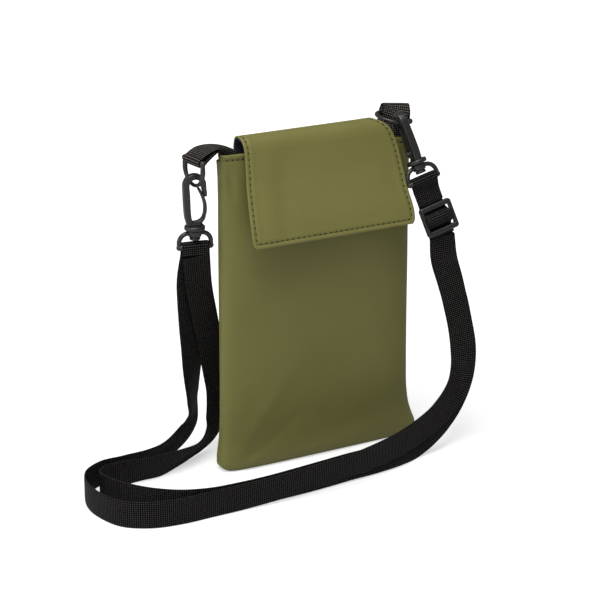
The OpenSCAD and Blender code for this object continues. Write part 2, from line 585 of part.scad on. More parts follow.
// One module for each piece
module front_panel() { color(olive) panel(-1); }
module back_panel() { color(olive) panel(1); }
module front_lining() { color(navy) lining(-1, front_lining_rows); }
module back_lining() { color(navy) lining(1, back_lining_rows); }
module mouth_facing() {
    color(olive) skin(band_rows(shell_t + facing_gap),
        band_rows(shell_t + facing_gap + facing_t));
}
module magnet_disc(o, z_dir) {
    x = [1, 0, 0];
    multmatrix(place(o, x, cross(z_dir, x), z_dir)) cylinder(h = magnet_t, d = magnet_d);
}
front_in = wall_point(magnet_h_share, 90, -1, shell_t);
front_up = wall_point(magnet_h_share + 0.03, 90, -1, shell_t);
front_dir = cross([1, 0, 0], unit(front_up - front_in));
module front_magnet() {
    color(steel) magnet_disc(front_in - front_dir * (run_gap + magnet_t), front_dir);
}
module flap_bridge() { color(olive) bridge_skin(0, flap_t, 0); }
module flap_bridge_lining() {
    color(navy) bridge_skin(flap_lining_in, flap_lining_in + lining_t, flap_edge_in);
}
module flap_drop() { color(olive) drop_skin(0, flap_t); }
module flap_drop_lining() {
    color(navy) drop_lining_skin(flap_lining_in, flap_lining_in + lining_t);
}
module flap_magnet() {
    color(steel) magnet_disc([0, drop_a[0], drop_a[1]] + drop_dir * (flap_t + run_gap),
        drop_dir);
}
module left_tab() {
    color(black) tab(left_tab_path, left_tab_across, left_z, left_bar, left_z, left_bar_at);
}
module right_tab() {
    color(black)
        tab(right_tab_path, right_tab_across, right_up, right_bar, right_up, right_bar_at);
}
module left_ring() { color(black) multmatrix(left_ring_frame) ring(); }
module right_ring() { color(black) multmatrix(right_ring_frame) ring(); }
module left_eye() { color(black) multmatrix(left_clip) clip_eye(); }
module left_hook() { color(black) multmatrix(left_clip) clip_hook(); }
module left_gate() { color(black) multmatrix(left_clip) clip_gate(); }
module right_eye() { color(black) multmatrix(right_clip) clip_eye(); }
module right_hook() {
    color(black) multmatrix(right_clip) rotate([0, 0, right_hook_turn]) clip_hook();
}
module right_gate() {
    color(black) multmatrix(right_clip) rotate([0, 0, right_hook_turn]) clip_gate();
}
module slider() { color(black) multmatrix(slider_frame) slider_body(); }
module slider_fold() {
    color(black) multmatrix(slider_frame) strap_across(strap_side)
        side_band(concat(around([0, 0], loop_bore + strap_t / 2, 0, 270, 15), far_pass), strap_t);
}
module left_strap_fold() {
    color(black) multmatrix(left_clip) strap_across(0)
        side_band(concat([[leg_y, -leg_l]], around([0, 0], leg_y, 0, 180, 10),
            [[-leg_y, -leg_l]]), strap_t);
}
module right_strap_fold() {
    lie = strap_t / 2 + run_gap / 4;
    color(black) multmatrix(slider_frame) strap_across(strap_side)
        side_band(concat(
            [[-sewn_y, neck_z + lie], [-eye_run * 0.7, neck_z + lie]],
            around([-eye_run, eye_rise], leg_y, 60, 270, 10),
            [[-eye_run * 0.7, neck_z - lie]], near_pass), strap_t);
}
module strap_near_run() {
    color(black) strap(near_start, near_route, near_end, near_across);
}
module strap_far_run() {
    color(black) strap(far_start, far_route, far_end, far_across);
}

front_panel();
back_panel();
front_lining();
back_lining();
mouth_facing();
front_magnet();
flap_bridge();
flap_bridge_lining();
flap_drop();
flap_drop_lining();
flap_magnet();
left_tab();
right_tab();
left_ring();
right_ring();
left_eye();
left_hook();
left_gate();
right_eye();
right_hook();
right_gate();
slider();
slider_fold();
left_strap_fold();
right_strap_fold();
strap_near_run();
strap_far_run();
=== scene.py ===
# %% [markdown]
# # A flat phone pouch on a webbing strap
# The real object is a small pocket of coated cloth with a fold-over flap. Two webbing tabs at
# its top corners hold rings, two swivel hooks clip into the rings, and one long piece of
# webbing joins the hooks. The measured model comes first as a frame, and every piece below is
# drawn in that same frame, in metres, so that nothing has to be fitted by eye. Soft pieces
# get a new surface; only the two magnet discs keep the shape of the measured model.

# %% Load the measured frame
import bpy
import numpy as np
from mathutils import Matrix


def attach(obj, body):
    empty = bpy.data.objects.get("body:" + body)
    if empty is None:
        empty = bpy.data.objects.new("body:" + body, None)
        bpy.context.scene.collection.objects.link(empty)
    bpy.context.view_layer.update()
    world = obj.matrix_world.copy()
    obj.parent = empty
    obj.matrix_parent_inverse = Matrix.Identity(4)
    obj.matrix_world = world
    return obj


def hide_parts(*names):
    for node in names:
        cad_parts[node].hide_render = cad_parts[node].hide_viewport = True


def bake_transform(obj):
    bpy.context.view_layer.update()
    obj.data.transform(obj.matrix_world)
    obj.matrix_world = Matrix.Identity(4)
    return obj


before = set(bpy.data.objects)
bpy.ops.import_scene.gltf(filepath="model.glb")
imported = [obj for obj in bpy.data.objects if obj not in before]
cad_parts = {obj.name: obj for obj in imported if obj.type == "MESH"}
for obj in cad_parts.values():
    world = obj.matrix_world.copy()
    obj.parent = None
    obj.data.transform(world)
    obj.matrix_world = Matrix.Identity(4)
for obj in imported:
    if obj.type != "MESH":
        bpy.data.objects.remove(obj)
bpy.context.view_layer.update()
MM = 0.001

# %% [markdown]
# ## Camera
# A catalogue picture is taken with a long lens, so lines stay nearly parallel. The camera
# stands 1.2 m away, to the left of the pouch and above it, and looks slightly down. It could
# be aimed by a tracking constraint, but here its three directions follow from two angles, so
# its place is a plain formula that can be read and changed.

# %% Camera
def unit(v):
    """The vector divided by its own length."""
    v = np.asarray(v, float)
    return v / np.linalg.norm(v, axis=-1, keepdims=True)


SENSOR_MM, FOCAL_PX, PICTURE_PX = 36, 2069.2, 600
ASIDE, AIM_HEIGHT, DISTANCE = -9.43 * MM, 93.83 * MM, 1200 * MM
turn, lift = np.radians(29.33), np.radians(19.117)
right = np.array([np.cos(turn), -np.sin(turn), 0.0])
back = np.array([-np.sin(turn) * np.cos(lift), -np.cos(turn) * np.cos(lift), np.sin(lift)])
up = np.cross(back, right)
target = ASIDE * right + np.array([0, 0, AIM_HEIGHT])
camera_data = bpy.data.cameras.new("Camera")
camera_data.sensor_width = SENSOR_MM
camera_data.lens = SENSOR_MM * FOCAL_PX / PICTURE_PX
camera_data.clip_start, camera_data.clip_end = 0.05, 60
camera = bpy.data.objects.new("Camera", camera_data)
bpy.context.scene.collection.objects.link(camera)
place = np.eye(4)
place[:3, 0], place[:3, 1], place[:3, 2] = right, up, back
place[:3, 3] = target + back * DISTANCE
camera.matrix_world = Matrix(place.tolist())
bpy.context.scene.camera = camera
print("camera at", (place[:3, 3] / MM).round(1), "mm")

# %% [markdown]
# ## From numbers to a mesh
# Cloth, webbing and moulded limbs are all curved sheets or tubes. They could be modelled by
# hand and subdivided, but a grid of points worked out with numpy gives the same surface from
# a few sizes. One helper lists the faces of a grid. Closed round, a grid is a tube.

# %% Faces of a grid
def grid_faces(rows, cols, wrap=False, start=0):
    """Four-sided faces between neighbouring points of a grid, closed round in columns if wrap."""
    i, j = np.meshgrid(np.arange(rows - 1), np.arange(cols if wrap else cols - 1), indexing="ij")
    a = i * cols + j
    b = i * cols + (j + 1) % cols
    return np.stack([a, b, b + cols, a + cols], -1).reshape(-1, 4) + start


print("a sheet of 3 by 4 points has", len(grid_faces(3, 4)), "faces, a tube",
      len(grid_faces(3, 4, wrap=True)))

# %% [markdown]
# ## A mesh in Blender
# from_pydata takes points and faces as they are. The UV map holds real lengths in
# centimetres, so that a weave keeps its size on every piece. A piece then rides on one body
# of the measured model, or stays where it is drawn where cloth bends between two, and the
# nodes it stands for are hidden.

# %% Mesh and finish of a piece
def put_mesh(name, points, faces, material, uv=None):
    """One object from points in metres, a list of face arrays and an optional UV per corner."""
    mesh = bpy.data.meshes.new(name)
    polygons = [f for group in faces for f in np.asarray(group).tolist()]
    mesh.from_pydata(np.asarray(points, float).tolist(), [], polygons)
    mesh.polygons.foreach_set("use_smooth", np.ones(len(mesh.polygons), bool))
    if uv is not None:
        layer = mesh.uv_layers.new(name="UVMap")
        layer.data.foreach_set("uv", np.asarray(uv, np.float32).ravel())
    mesh.materials.append(material)
    mesh.validate()
    mesh.update()
    obj = bpy.data.objects.new(name, mesh)
    bpy.context.scene.collection.objects.link(obj)
    return obj


def finish_piece(obj, body, slot, *nodes):
    """Lets the piece ride on its body, or stays where it is drawn if it has two, and hides the
    nodes it stands for; slot is not used.
    """
    if isinstance(body, str):
        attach(obj, body)
    else:
        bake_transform(obj)
    if nodes:
        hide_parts(*nodes)
    print(obj.name, "faces:", len(obj.data.polygons))
    return obj


def put_band(name, band, material, body, slot, *nodes):
    """One finished piece from a (points, faces, uv) set."""
    return finish_piece(put_mesh(name, band[0], band[1], material, band[2]), body, slot, *nodes)


print("pieces to be made for", len(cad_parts), "nodes")

# %% [markdown]
# ## Smooth curves
# A strap that hangs and lies has no corners. Its route could be a Blender curve with handles,
# but a cubic through given points, with averaged slopes, needs no handles and can carry
# other values along, such as the direction across the webbing. The points that come out are
# evenly spaced, so that a weave isn't stretched.

# %% Curve helpers
def through(x, xs, ys):
    """Smooth curve through given points: cubic pieces with averaged slopes at the points."""
    xs, ys = np.asarray(xs, float), np.asarray(ys, float)
    slope = np.gradient(ys, xs)
    i = np.clip(np.searchsorted(xs, x, side="right") - 1, 0, len(xs) - 2)
    w = xs[i + 1] - xs[i]
    s = (x - xs[i]) / w
    return ((1 + 2 * s) * (1 - s) ** 2 * ys[i] + s * (1 - s) ** 2 * w * slope[i]
            + s * s * (3 - 2 * s) * ys[i + 1] + s * s * (s - 1) * w * slope[i + 1])


def lengths(path):
    """Distance along a path of points at each of its points."""
    step = np.linalg.norm(np.diff(path, axis=0), axis=1)
    return np.concatenate([[0], np.cumsum(step)])


def smooth_path(points, count, *others):
    """A smooth path through points, evenly spaced, with other columns carried along it."""
    points = np.asarray(points, float)
    s = lengths(points)
    dense = np.linspace(0, s[-1], count * 4)
    fine = np.stack([through(dense, s, c) for c in points.T], 1)
    run = lengths(fine)
    even = np.linspace(0, run[-1], count)
    at = np.interp(even, run, dense)
    out = [np.stack([np.interp(even, run, c) for c in fine.T], 1)]
    for other in others:
        out.append(np.stack([through(at, s, c) for c in np.asarray(other, float).T], 1))
    return out


print("halfway up from 0 to 1 the curve is at", through(0.5, [0, 1], [0, 1]))

# %% [markdown]
# ## A band along a path
# Webbing, wire and hook limbs are all one profile carried along a path. A curve object with a
# bevel shape does that too, but it chooses its own twist. Here the across direction is given
# at each point and squared up against the path, so a strap turns over just where it does on
# the real object.

# %% Directions along a path
def path_frames(path, across, closed=False, square=True):
    """Direction, across and face directions at each point of a path.

    Without square, the across direction stays as given, as in cloth that shears."""
    if closed:
        t = unit(np.roll(path, -1, 0) - np.roll(path, 1, 0))
    else:
        t = unit(np.gradient(path, axis=0))
    across = np.broadcast_to(np.asarray(across, float), path.shape)
    x = unit(across - square * np.sum(across * t, 1, keepdims=True) * t)
    return t, x, unit(np.cross(x, t))


print("face direction of a level strap:",
      path_frames(np.array([[0, 0, 0], [0, 1.0, 0]]), [1.0, 0, 0])[2][0])

# %% [markdown]
# ## The swept surface
# The profile's points are carried to every place on the path by a product of arrays, which is
# faster than a loop and leaves the ends to be closed. Each open end gets a small fan of
# triangles, so that the piece is solid like cut webbing.

# %% Sweep
def sweep(path, across, profile, closed=False, square=True):
    """Points, faces and UV of a closed profile carried along a path.

    The profile is (across, face) pairs in metres, one set for the path or one for each point."""
    t, x, z = path_frames(path, across, closed, square)
    profile = np.broadcast_to(profile, (len(path),) + np.shape(profile)[-2:])
    grid = (path[:, None] + x[:, None] * profile[..., :1] + z[:, None] * profile[..., 1:])
    rows, cols = grid.shape[:2]
    ring = np.concatenate([profile[0], profile[0][:1]])
    u = lengths(ring) / 0.01
    v = lengths(path) / 0.01
    if closed:
        grid = np.concatenate([grid, grid[:1]])
        v = np.append(v, v[-1] + (v[-1] - v[-2]))
        rows += 1
    faces = grid_faces(rows, cols, wrap=True)
    i, j = np.meshgrid(np.arange(rows - 1), np.arange(cols), indexing="ij")
    uv = np.stack([np.stack([u[j], v[i]], -1), np.stack([u[j + 1], v[i]], -1),
                   np.stack([u[j + 1], v[i + 1]], -1), np.stack([u[j], v[i + 1]], -1)], 2)
    uv = uv.reshape(-1, 2)
    points = grid.reshape(-1, 3)
    if closed:
        faces = np.where(faces >= (rows - 1) * cols, faces - (rows - 1) * cols, faces)
        return points[:(rows - 1) * cols], [faces], uv
    ends = np.stack([grid[0].mean(0), grid[-1].mean(0)])
    k = np.arange(cols)
    n = len(points)
    first = np.stack([np.full(cols, n), (k + 1) % cols, k], 1)
    last = np.stack([np.full(cols, n + 1), (rows - 1) * cols + k,
                     (rows - 1) * cols + (k + 1) % cols], 1)
    uv = np.concatenate([uv, np.zeros((6 * cols, 2))])
    return np.concatenate([points, ends]), [faces, first, last], uv


square_bar = sweep(np.array([[0, 0, 0], [0, 1.0, 0]]), [1.0, 0, 0],
                   np.array([[1, 1], [-1, 1], [-1, -1], [1, -1.0]]))
print("a square bar has", sum(len(group) for group in square_bar[1]), "faces")

# %% [markdown]
# ## Profiles
# Moulded limbs are neither round nor square. A superellipse is one formula for all of them:
# its power sets how full the corners are, from 2 for an ellipse up to 7 for webbing. Parts of
# one piece are joined as plain lists, since a moulding needs no clean cut where they meet.

# %% Joined parts and profiles
def join(*parts):
    """Several (points, faces, uv) sets as one."""
    points, faces, uvs, n = [], [], [], 0
    for p, f, uv in parts:
        points.append(p)
        faces += [np.asarray(g) + n for g in f]
        uvs.append(uv)
        n += len(p)
    return np.concatenate(points), faces, np.concatenate(uvs)


def rounded_profile(width, thick, count=32, power=4.0):
    """A closed outline between an ellipse and a rectangle: |x|^p + |y|^p = 1, counterclockwise."""
    a = np.linspace(0, 2 * np.pi, count, endpoint=False) + np.pi / count
    c, s = np.cos(a), np.sin(a)
    return np.stack([np.sign(c) * np.abs(c) ** (2 / power) * width / 2,
                     np.sign(s) * np.abs(s) ** (2 / power) * thick / 2], 1)


print("a 4 by 2 profile fills", np.ptp(rounded_profile(4, 2), axis=0).round(2))

# %% [markdown]
# ## Finishes
# Every finish is built from nodes and has no picture in it, so it stays sharp at any distance.
# These helpers add a node, do a sum, read noise at a real scale and send a height to the
# surface as bump. They keep the materials below short enough to read as recipes.

# %% Nodes and sums
def new_material(name):
    """An empty node material and its shader."""
    material = bpy.data.materials.new(name)
    material.use_nodes = True
    tree = material.node_tree
    shader = tree.nodes["Principled BSDF"]
    return material, tree, shader


def node(tree, kind, **values):
    """Adds a node and sets its plain properties."""
    n = tree.nodes.new(kind)
    for key, value in values.items():
        setattr(n, key, value)
    return n


def math(tree, operation, a, b=None, clamp=False):
    """One Math node; a and b are numbers or sockets."""
    n = node(tree, "ShaderNodeMath", operation=operation, use_clamp=clamp)
    for socket, value in zip(n.inputs, (a, b)):
        if value is None:
            continue
        if isinstance(value, (int, float)):
            socket.default_value = value
        else:
            tree.links.new(value, socket)
    return n.outputs[0]


trial, trial_tree, _ = new_material("trial")
math(trial_tree, "ADD", 1.0, 2.0)
print("a new material with one sum has", len(trial_tree.nodes), "nodes")
bpy.data.materials.remove(trial)

# %% [markdown]
# ## Noise, colours and bump
# Real surfaces are never quite even. Noise on Object coordinates has the same grain on every
# piece, since those are the metres of the frame. A ramp turns it into a colour between two
# close ones, and the bump's distance is a real height, so a finish isn't rougher than it is.

# %% Noise, colours and bump
def noise(tree, scale, detail):
    """Noise on Object coordinates: scale is the number of grains in a metre."""
    vector = node(tree, "ShaderNodeTexCoord").outputs["Object"]
    n = node(tree, "ShaderNodeTexNoise")
    n.inputs["Scale"].default_value = scale
    n.inputs["Detail"].default_value = detail
    tree.links.new(vector, n.inputs["Vector"])
    return n.outputs["Fac"]


def colour_between(tree, factor, low, high):
    """Colour ramp of two colours over a factor from 0 to 1."""
    ramp = node(tree, "ShaderNodeValToRGB")
    ramp.color_ramp.elements[0].position = 0.3
    ramp.color_ramp.elements[1].position = 0.7
    ramp.color_ramp.elements[0].color = (*low, 1)
    ramp.color_ramp.elements[1].color = (*high, 1)
    tree.links.new(factor, ramp.inputs[0])
    return ramp.outputs[0]


def bump(tree, shader, height, distance, strength=1.0):
    """Sends a height to the shader's normal, as a bump of a real distance in metres."""
    n = node(tree, "ShaderNodeBump")
    n.inputs["Strength"].default_value = strength
    n.inputs["Distance"].default_value = distance
    tree.links.new(height, n.inputs["Height"])
    tree.links.new(n.outputs[0], shader.inputs["Normal"])


print("materials so far:", len(bpy.data.materials))

# %% [markdown]
# ## Coated cloth
# The shell is cloth with a soft plastic coating: matt, evenly coloured, with a very fine
# grain. A photograph of leather could be mapped on it, but noise at two real scales, for
# grain and pores, has no seams and no stretching. The colour is slightly cloudy, as a coating
# is.

# %% Coated cloth
def coated_cloth(name, low, high, roughness):
    """Matt coated cloth: cloudy colour, fine grain and a soft sheen."""
    material, tree, shader = new_material(name)
    cloud = noise(tree, 22, 3)
    tree.links.new(colour_between(tree, cloud, low, high), shader.inputs["Base Color"])
    grain = noise(tree, 2600, 2)
    pores = noise(tree, 700, 3)
    height = math(tree, "ADD", math(tree, "MULTIPLY", grain, 0.6), pores)
    bump(tree, shader, height, 0.00006, 0.55)
    rough = math(tree, "ADD", math(tree, "MULTIPLY", pores, 0.16), roughness - 0.08)
    tree.links.new(rough, shader.inputs["Roughness"])
    shader.inputs["Specular IOR Level"].default_value = 0.28
    return material


olive = coated_cloth("coated_cloth_olive", (0.172, 0.164, 0.046), (0.192, 0.183, 0.054), 0.50)
print(olive.name, "nodes:", len(olive.node_tree.nodes))

# %% [markdown]
# ## Lining
# The lining is thin dark blue woven cloth, seen only under the flap. Two crossed waves give
# its threads. They read Object coordinates, which are the real metres of the frame, so the
# thread has the same size on all four lining pieces without any unwrapping.

# %% Lining cloth
def plain_cloth(name, low, high, pitch):
    """Thin woven lining: two crossed waves on Object coordinates."""
    material, tree, shader = new_material(name)
    place = node(tree, "ShaderNodeTexCoord").outputs["Object"]
    split = node(tree, "ShaderNodeSeparateXYZ")
    tree.links.new(place, split.inputs[0])
    k = 2 * np.pi / pitch
    warp = math(tree, "SINE", math(tree, "MULTIPLY", split.outputs["X"], k))
    weft = math(tree, "SINE", math(tree, "MULTIPLY", split.outputs["Z"], k))
    height = math(tree, "MULTIPLY", warp, weft)
    shade = math(tree, "ADD", math(tree, "MULTIPLY", height, 0.25), noise(tree, 60, 3))
    tree.links.new(colour_between(tree, shade, low, high), shader.inputs["Base Color"])
    bump(tree, shader, height, 0.00012, 0.6)
    shader.inputs["Roughness"].default_value = 0.75
    shader.inputs["Sheen Weight"].default_value = 0.1
    return material


navy = plain_cloth("lining_navy", (0.010, 0.013, 0.030), (0.020, 0.025, 0.052), 0.0007)
print(navy.name, "nodes:", len(navy.node_tree.nodes))

# %% [markdown]
# ## Webbing
# Webbing is a plain weave: raised cords run along it, and the cross threads cut them into
# short ribs. Modelled threads would need millions of faces, so the weave is a height worked
# out from the UV map, which follows the strap round every bend. The same height sets the
# colour: painted shade in the gaps between the ribs and a painted highlight on the rib tops.
# The tabs get a copy whose ribs are paler, a stronger painted highlight for the light from above.

# %% Webbing
CORD_CM, RIB_CM = 0.12, 0.12


def woven_webbing(name, low, high):
    """Webbing on its UV map in centimetres: cords along it, crossed by short ribs."""
    material, tree, shader = new_material(name)
    uv = node(tree, "ShaderNodeTexCoord").outputs["UV"]
    split = node(tree, "ShaderNodeSeparateXYZ")
    tree.links.new(uv, split.inputs[0])
    across = math(tree, "MULTIPLY", split.outputs["X"], 1 / CORD_CM)
    cord = math(tree, "SINE", math(tree, "MULTIPLY", math(tree, "FRACT", across), np.pi))
    along = math(tree, "MULTIPLY", split.outputs["Y"], 2 * np.pi / RIB_CM)
    rib = math(tree, "SINE", along)
    rib = math(tree, "ADD", math(tree, "MULTIPLY", rib, 0.5), 0.5)
    height = math(tree, "MULTIPLY", math(tree, "POWER", cord, 0.6), rib)
    fuzz = noise(tree, 1800, 2)
    shade = math(tree, "ADD", math(tree, "MULTIPLY", height, 0.75),
                 math(tree, "MULTIPLY", fuzz, 0.25))
    shade = math(tree, "MULTIPLY", math(tree, "POWER", shade, 1.9), 0.95)
    # The colour from the rib height is painted light: painted shade in the gaps, painted highlight
    # on the rib tops.
    tree.links.new(colour_between(tree, shade, low, high), shader.inputs["Base Color"])
    bump(tree, shader, height, 0.00042, 0.9)
    shader.inputs["Roughness"].default_value = 0.6
    shader.inputs["Specular IOR Level"].default_value = 0.09
    return material


# Low is the painted shade in the gaps, high the painted highlight on the rib tops.
black_webbing = woven_webbing("webbing_black", (0.0008, 0.0008, 0.0008), (0.105, 0.095, 0.089))
# The tabs' paler copy of the webbing is a painted highlight for the light that falls on them from
# above.
webbing_tab_painted_highlight = woven_webbing("webbing_black_tab_painted_highlight", (0.006, 0.0055, 0.005), (0.235, 0.208, 0.19))
print("ribs every", CORD_CM * 10, "mm across and", RIB_CM * 10, "mm along")

# %% [markdown]
# ## Moulded plastic
# Rings, clips and slider are black moulded plastic with a satin face. A plain dark shader
# would look like rubber, so the gloss is uneven and a slight orange-peel bump breaks up the
# reflections, as the mould's own surface does.

# %% Moulded plastic
def moulded_plastic(name, colour, roughness):
    """Satin moulded plastic: slight orange-peel bump and uneven gloss."""
    material, tree, shader = new_material(name)
    wave = noise(tree, 420, 2)
    low = tuple(0.85 * c for c in colour)
    tree.links.new(colour_between(tree, noise(tree, 90, 2), low, colour),
                   shader.inputs["Base Color"])
    rough = math(tree, "ADD", math(tree, "MULTIPLY", noise(tree, 160, 3), 0.14), roughness - 0.07)
    tree.links.new(rough, shader.inputs["Roughness"])
    bump(tree, shader, wave, 0.00004, 0.5)
    shader.inputs["Specular IOR Level"].default_value = 0.62
    return material


black_plastic = moulded_plastic("plastic_black", (0.017, 0.0155, 0.0148), 0.36)
print(black_plastic.name, "nodes:", len(black_plastic.node_tree.nodes))

# %% [markdown]
# ## Thread and magnets
# Thread is rough and catches no highlight. The needle holes beside it get the same material,
# only dark: painted shade for the holes. The two hidden magnets are plated discs, so they are
# plain metal with fine brushing and need nothing more.

# %% Thread and magnet plating
def sewing_thread(name, colour):
    """Thread: rough, with a fine twist as bump."""
    material, tree, shader = new_material(name)
    twist = noise(tree, 3500, 1)
    low = tuple(0.7 * c for c in colour)
    tree.links.new(colour_between(tree, twist, low, colour), shader.inputs["Base Color"])
    bump(tree, shader, twist, 0.00005, 0.5)
    shader.inputs["Roughness"].default_value = 0.8
    shader.inputs["Specular IOR Level"].default_value = 0.1
    return material


def plated_steel(name):
    """Magnet plating: bright metal with fine brushing."""
    material, tree, shader = new_material(name)
    lines = noise(tree, 1200, 1)
    tree.links.new(colour_between(tree, lines, (0.5, 0.5, 0.5), (0.62, 0.62, 0.6)),
                   shader.inputs["Base Color"])
    shader.inputs["Metallic"].default_value = 1.0
    shader.inputs["Roughness"].default_value = 0.35
    return material


olive_thread = sewing_thread("thread_olive", (0.200, 0.190, 0.075))
# Near-black beads for the needle holes: painted shade, where the holes fall in shadow.
hole_painted_shade = sewing_thread("painted_shade_in_needle_holes", (0.030, 0.027, 0.008))
magnet_steel = plated_steel("magnet_steel")
print("materials now:", len(bpy.data.materials))

# %% [markdown]
# ## Places of the clips, the rings and the slider
# The clips hang at odd angles, and drawing them in place would be guesswork. So each part
# gets an origin in millimetres and three directions, which repeat the measured model. A clip
# is drawn in its own millimetres, with the eye's bar at the origin and the hook upwards, and
# the points are then placed, so that every object stays unturned at the scene's origin.

# %% Frames
def off_axis(v, axis):
    """v without its share along axis, as a unit vector."""
    return unit(np.asarray(v, float) - np.dot(v, axis) * axis)


left_bar_at = np.array([-77.092, 0.999, 187.5])
right_bar_at = np.array([56.399, 6.1975, 194.8])
left_eye_at = left_bar_at + np.array([0, 0.006, -1.178]) * 42
right_eye_at = right_bar_at + np.array([0.102, -0.582, -0.773]) * 42
slider_at = right_eye_at + np.array([0.351, -0.385, -1.227]) * 18
left_x, left_z = unit([0.982, -0.19, 0]), np.array([0, 0, 1.0])
left_y = np.cross(left_z, left_x)
right_x = unit([0.955, -0.09, 0.28])
right_z = off_axis([-0.249, 0.358, 0.9], right_x)
right_y = np.cross(right_z, right_x)
hook_turn = np.radians(92)
right_hook_x = np.cos(hook_turn) * right_x + np.sin(hook_turn) * right_y
right_hook_y = np.cross(right_z, right_hook_x)
left_bar = unit([0.1, -0.995, 0])
right_bar = unit([0.51, -0.84, -0.18])
right_lie = off_axis([-0.84, -0.5, 0.1], right_bar)
slider_y = off_axis(slider_at - right_eye_at, right_x)
slider_x = -right_x
slider_z = np.cross(slider_x, slider_y)


def placed(points, origin, x, y, z):
    """Local millimetre points put into the shared frame, in metres."""
    points = np.asarray(points, float)
    return (origin + points[:, :1] * x + points[:, 1:2] * y + points[:, 2:3] * z) * MM


print("slider is", np.linalg.norm(slider_at - right_eye_at).round(1), "mm below the right eye")

# %% [markdown]
# ## Webbing as a band
# Webbing is woven flat with full edges. A plain plane would show no edge and a box would
# look cut from sheet, so the outline is nearly a rectangle whose faces are very slightly
# crowned. The same outline serves the strap, its folds and the tabs.

# %% Webbing band
STRAP_W, STRAP_T = 15.5 * MM, 1.4 * MM


def webbing_profile(width, thick, count=28):
    """Flat profile with full edges: nearly a rectangle, and the faces very slightly crowned."""
    flat = rounded_profile(width, thick, count, power=7.0)
    crown = 1 - 0.10 * (2 * flat[:, :1] / width) ** 2
    return np.concatenate([flat[:, :1], flat[:, 1:] * crown], 1)


def webbing_band(points, across, count):
    """A band of webbing through points in metres, and its centreline."""
    path, over = smooth_path(points, count, across)
    return sweep(path, over, webbing_outline), path


webbing_outline = webbing_profile(STRAP_W, STRAP_T)
print("webbing outline of", len(webbing_outline), "points")

# %% [markdown]
# ## The strap
# One piece of webbing runs doubled from the slider, down the right side, across the floor in
# front, round at the left and up to the left hook. A cloth simulation could drop it there,
# but it would fall a little differently from the real one, so the routes of its two layers
# are listed. They are the measured model's own points, each with the direction across
# the webbing beside it.

# %% Route of the near layer
near_route = np.array([
    [71, -26, 115.5], [75, -27, 101], [78, -28, 88], [81, -29, 74], [82.5, -30, 61],
    [82.5, -31, 48.5], [79.5, -32, 37.5], [72, -33.5, 28.5], [61, -37, 22],
    [46.5, -41.5, 17.5], [30, -47, 15], [13, -51.5, 13.8], [-4, -55, 13],
    [-23, -56.5, 12], [-42, -57, 10.7], [-60, -56, 9.2], [-79, -55, 8.2],
    [-97, -54.8, 8], [-115, -54.8, 8], [-132.5, -51.2, 8], [-145, -42.3, 8],
    [-151, -27, 8], [-151.5, -9.5, 8], [-146, 4.5, 8], [-134, 13.5, 8],
    [-118, 17.5, 8], [-102, 22.5, 7.6], [-86.5, 28.5, 7.5], [-74, 35, 8.7],
    [-66, 38, 13.5], [-63.5, 36.5, 22], [-64.5, 33, 35], [-67, 28, 52],
    [-69.5, 23, 68], [-72.5, 18.5, 85], [-75, 14, 102], [-77, 9, 118]])
near_across = np.array([
    [0.97, -0.22, 0.15], [0.98, -0.20, 0.10], [0.98, -0.18, 0.03], [0.98, -0.17, 0],
    [0.98, -0.17, -0.07], [0.96, -0.15, -0.18], [0.93, -0.10, -0.32],
    [0.87, 0.02, -0.49], [0.74, 0.08, -0.66], [0.60, 0.10, -0.79], [0.48, 0.12, -0.87],
    [0.40, 0.16, -0.90], [0.34, 0.18, -0.92], [0.26, 0.18, -0.95], [0.16, 0.12, -0.98],
    [0.06, 0.06, -1], [0, 0, -1], [0, 0, -1], [0, 0, -1], [0, 0, -1], [0, 0, -1],
    [0, 0, -1], [0, 0, -1], [0, 0, -1], [0, 0.08, -1], [0.18, 0.40, -0.90],
    [0.36, 0.62, -0.70], [0.45, 0.60, -0.66], [0.46, 0.44, -0.77], [0.42, 0.42, -0.80],
    [0.42, 0.58, -0.68], [0.60, 0.62, -0.46], [0.78, 0.49, -0.39], [0.87, 0.34, -0.35],
    [0.90, 0.26, -0.30], [0.95, 0.15, -0.22], [0.98, 0, -0.12]])
print("near layer: picked points", len(near_route))

# %% [markdown]
# The far layer starts behind the near one and stays beside it along the front. At the left it
# takes the shorter way inside the bend, and there the two layers part, as in the photograph.

# %% Route of the far layer
far_route = np.array([
    [72.5, -22.5, 114.5], [77, -23, 100], [81, -24, 86], [84, -25, 72], [85, -26, 65.5],
    [86, -27, 53], [84, -28, 40], [78, -29.5, 28], [68.5, -33, 19.5],
    [57.5, -36.5, 13.5], [46, -37.5, 7.8], [29, -43, 7.4], [13, -45.5, 7.4],
    [-5, -47, 7.6], [-22.5, -49, 7.7], [-40, -51, 8], [-60, -52, 8], [-79, -51.5, 8],
    [-96, -50, 8], [-111, -44.5, 8], [-123, -35, 8], [-132.5, -22.5, 8],
    [-138.5, -9, 8], [-139, 1, 8], [-133.5, 6, 8], [-123, 7.5, 8], [-111, 6.5, 8],
    [-99, 7, 8], [-86, 11, 7.6], [-72.5, 18, 7], [-60.5, 25.5, 9.5], [-52.5, 31, 15],
    [-49, 32, 24], [-49, 30.5, 36], [-53, 26.5, 52], [-59, 20.5, 71], [-65.5, 14, 91],
    [-72, 7, 111]])
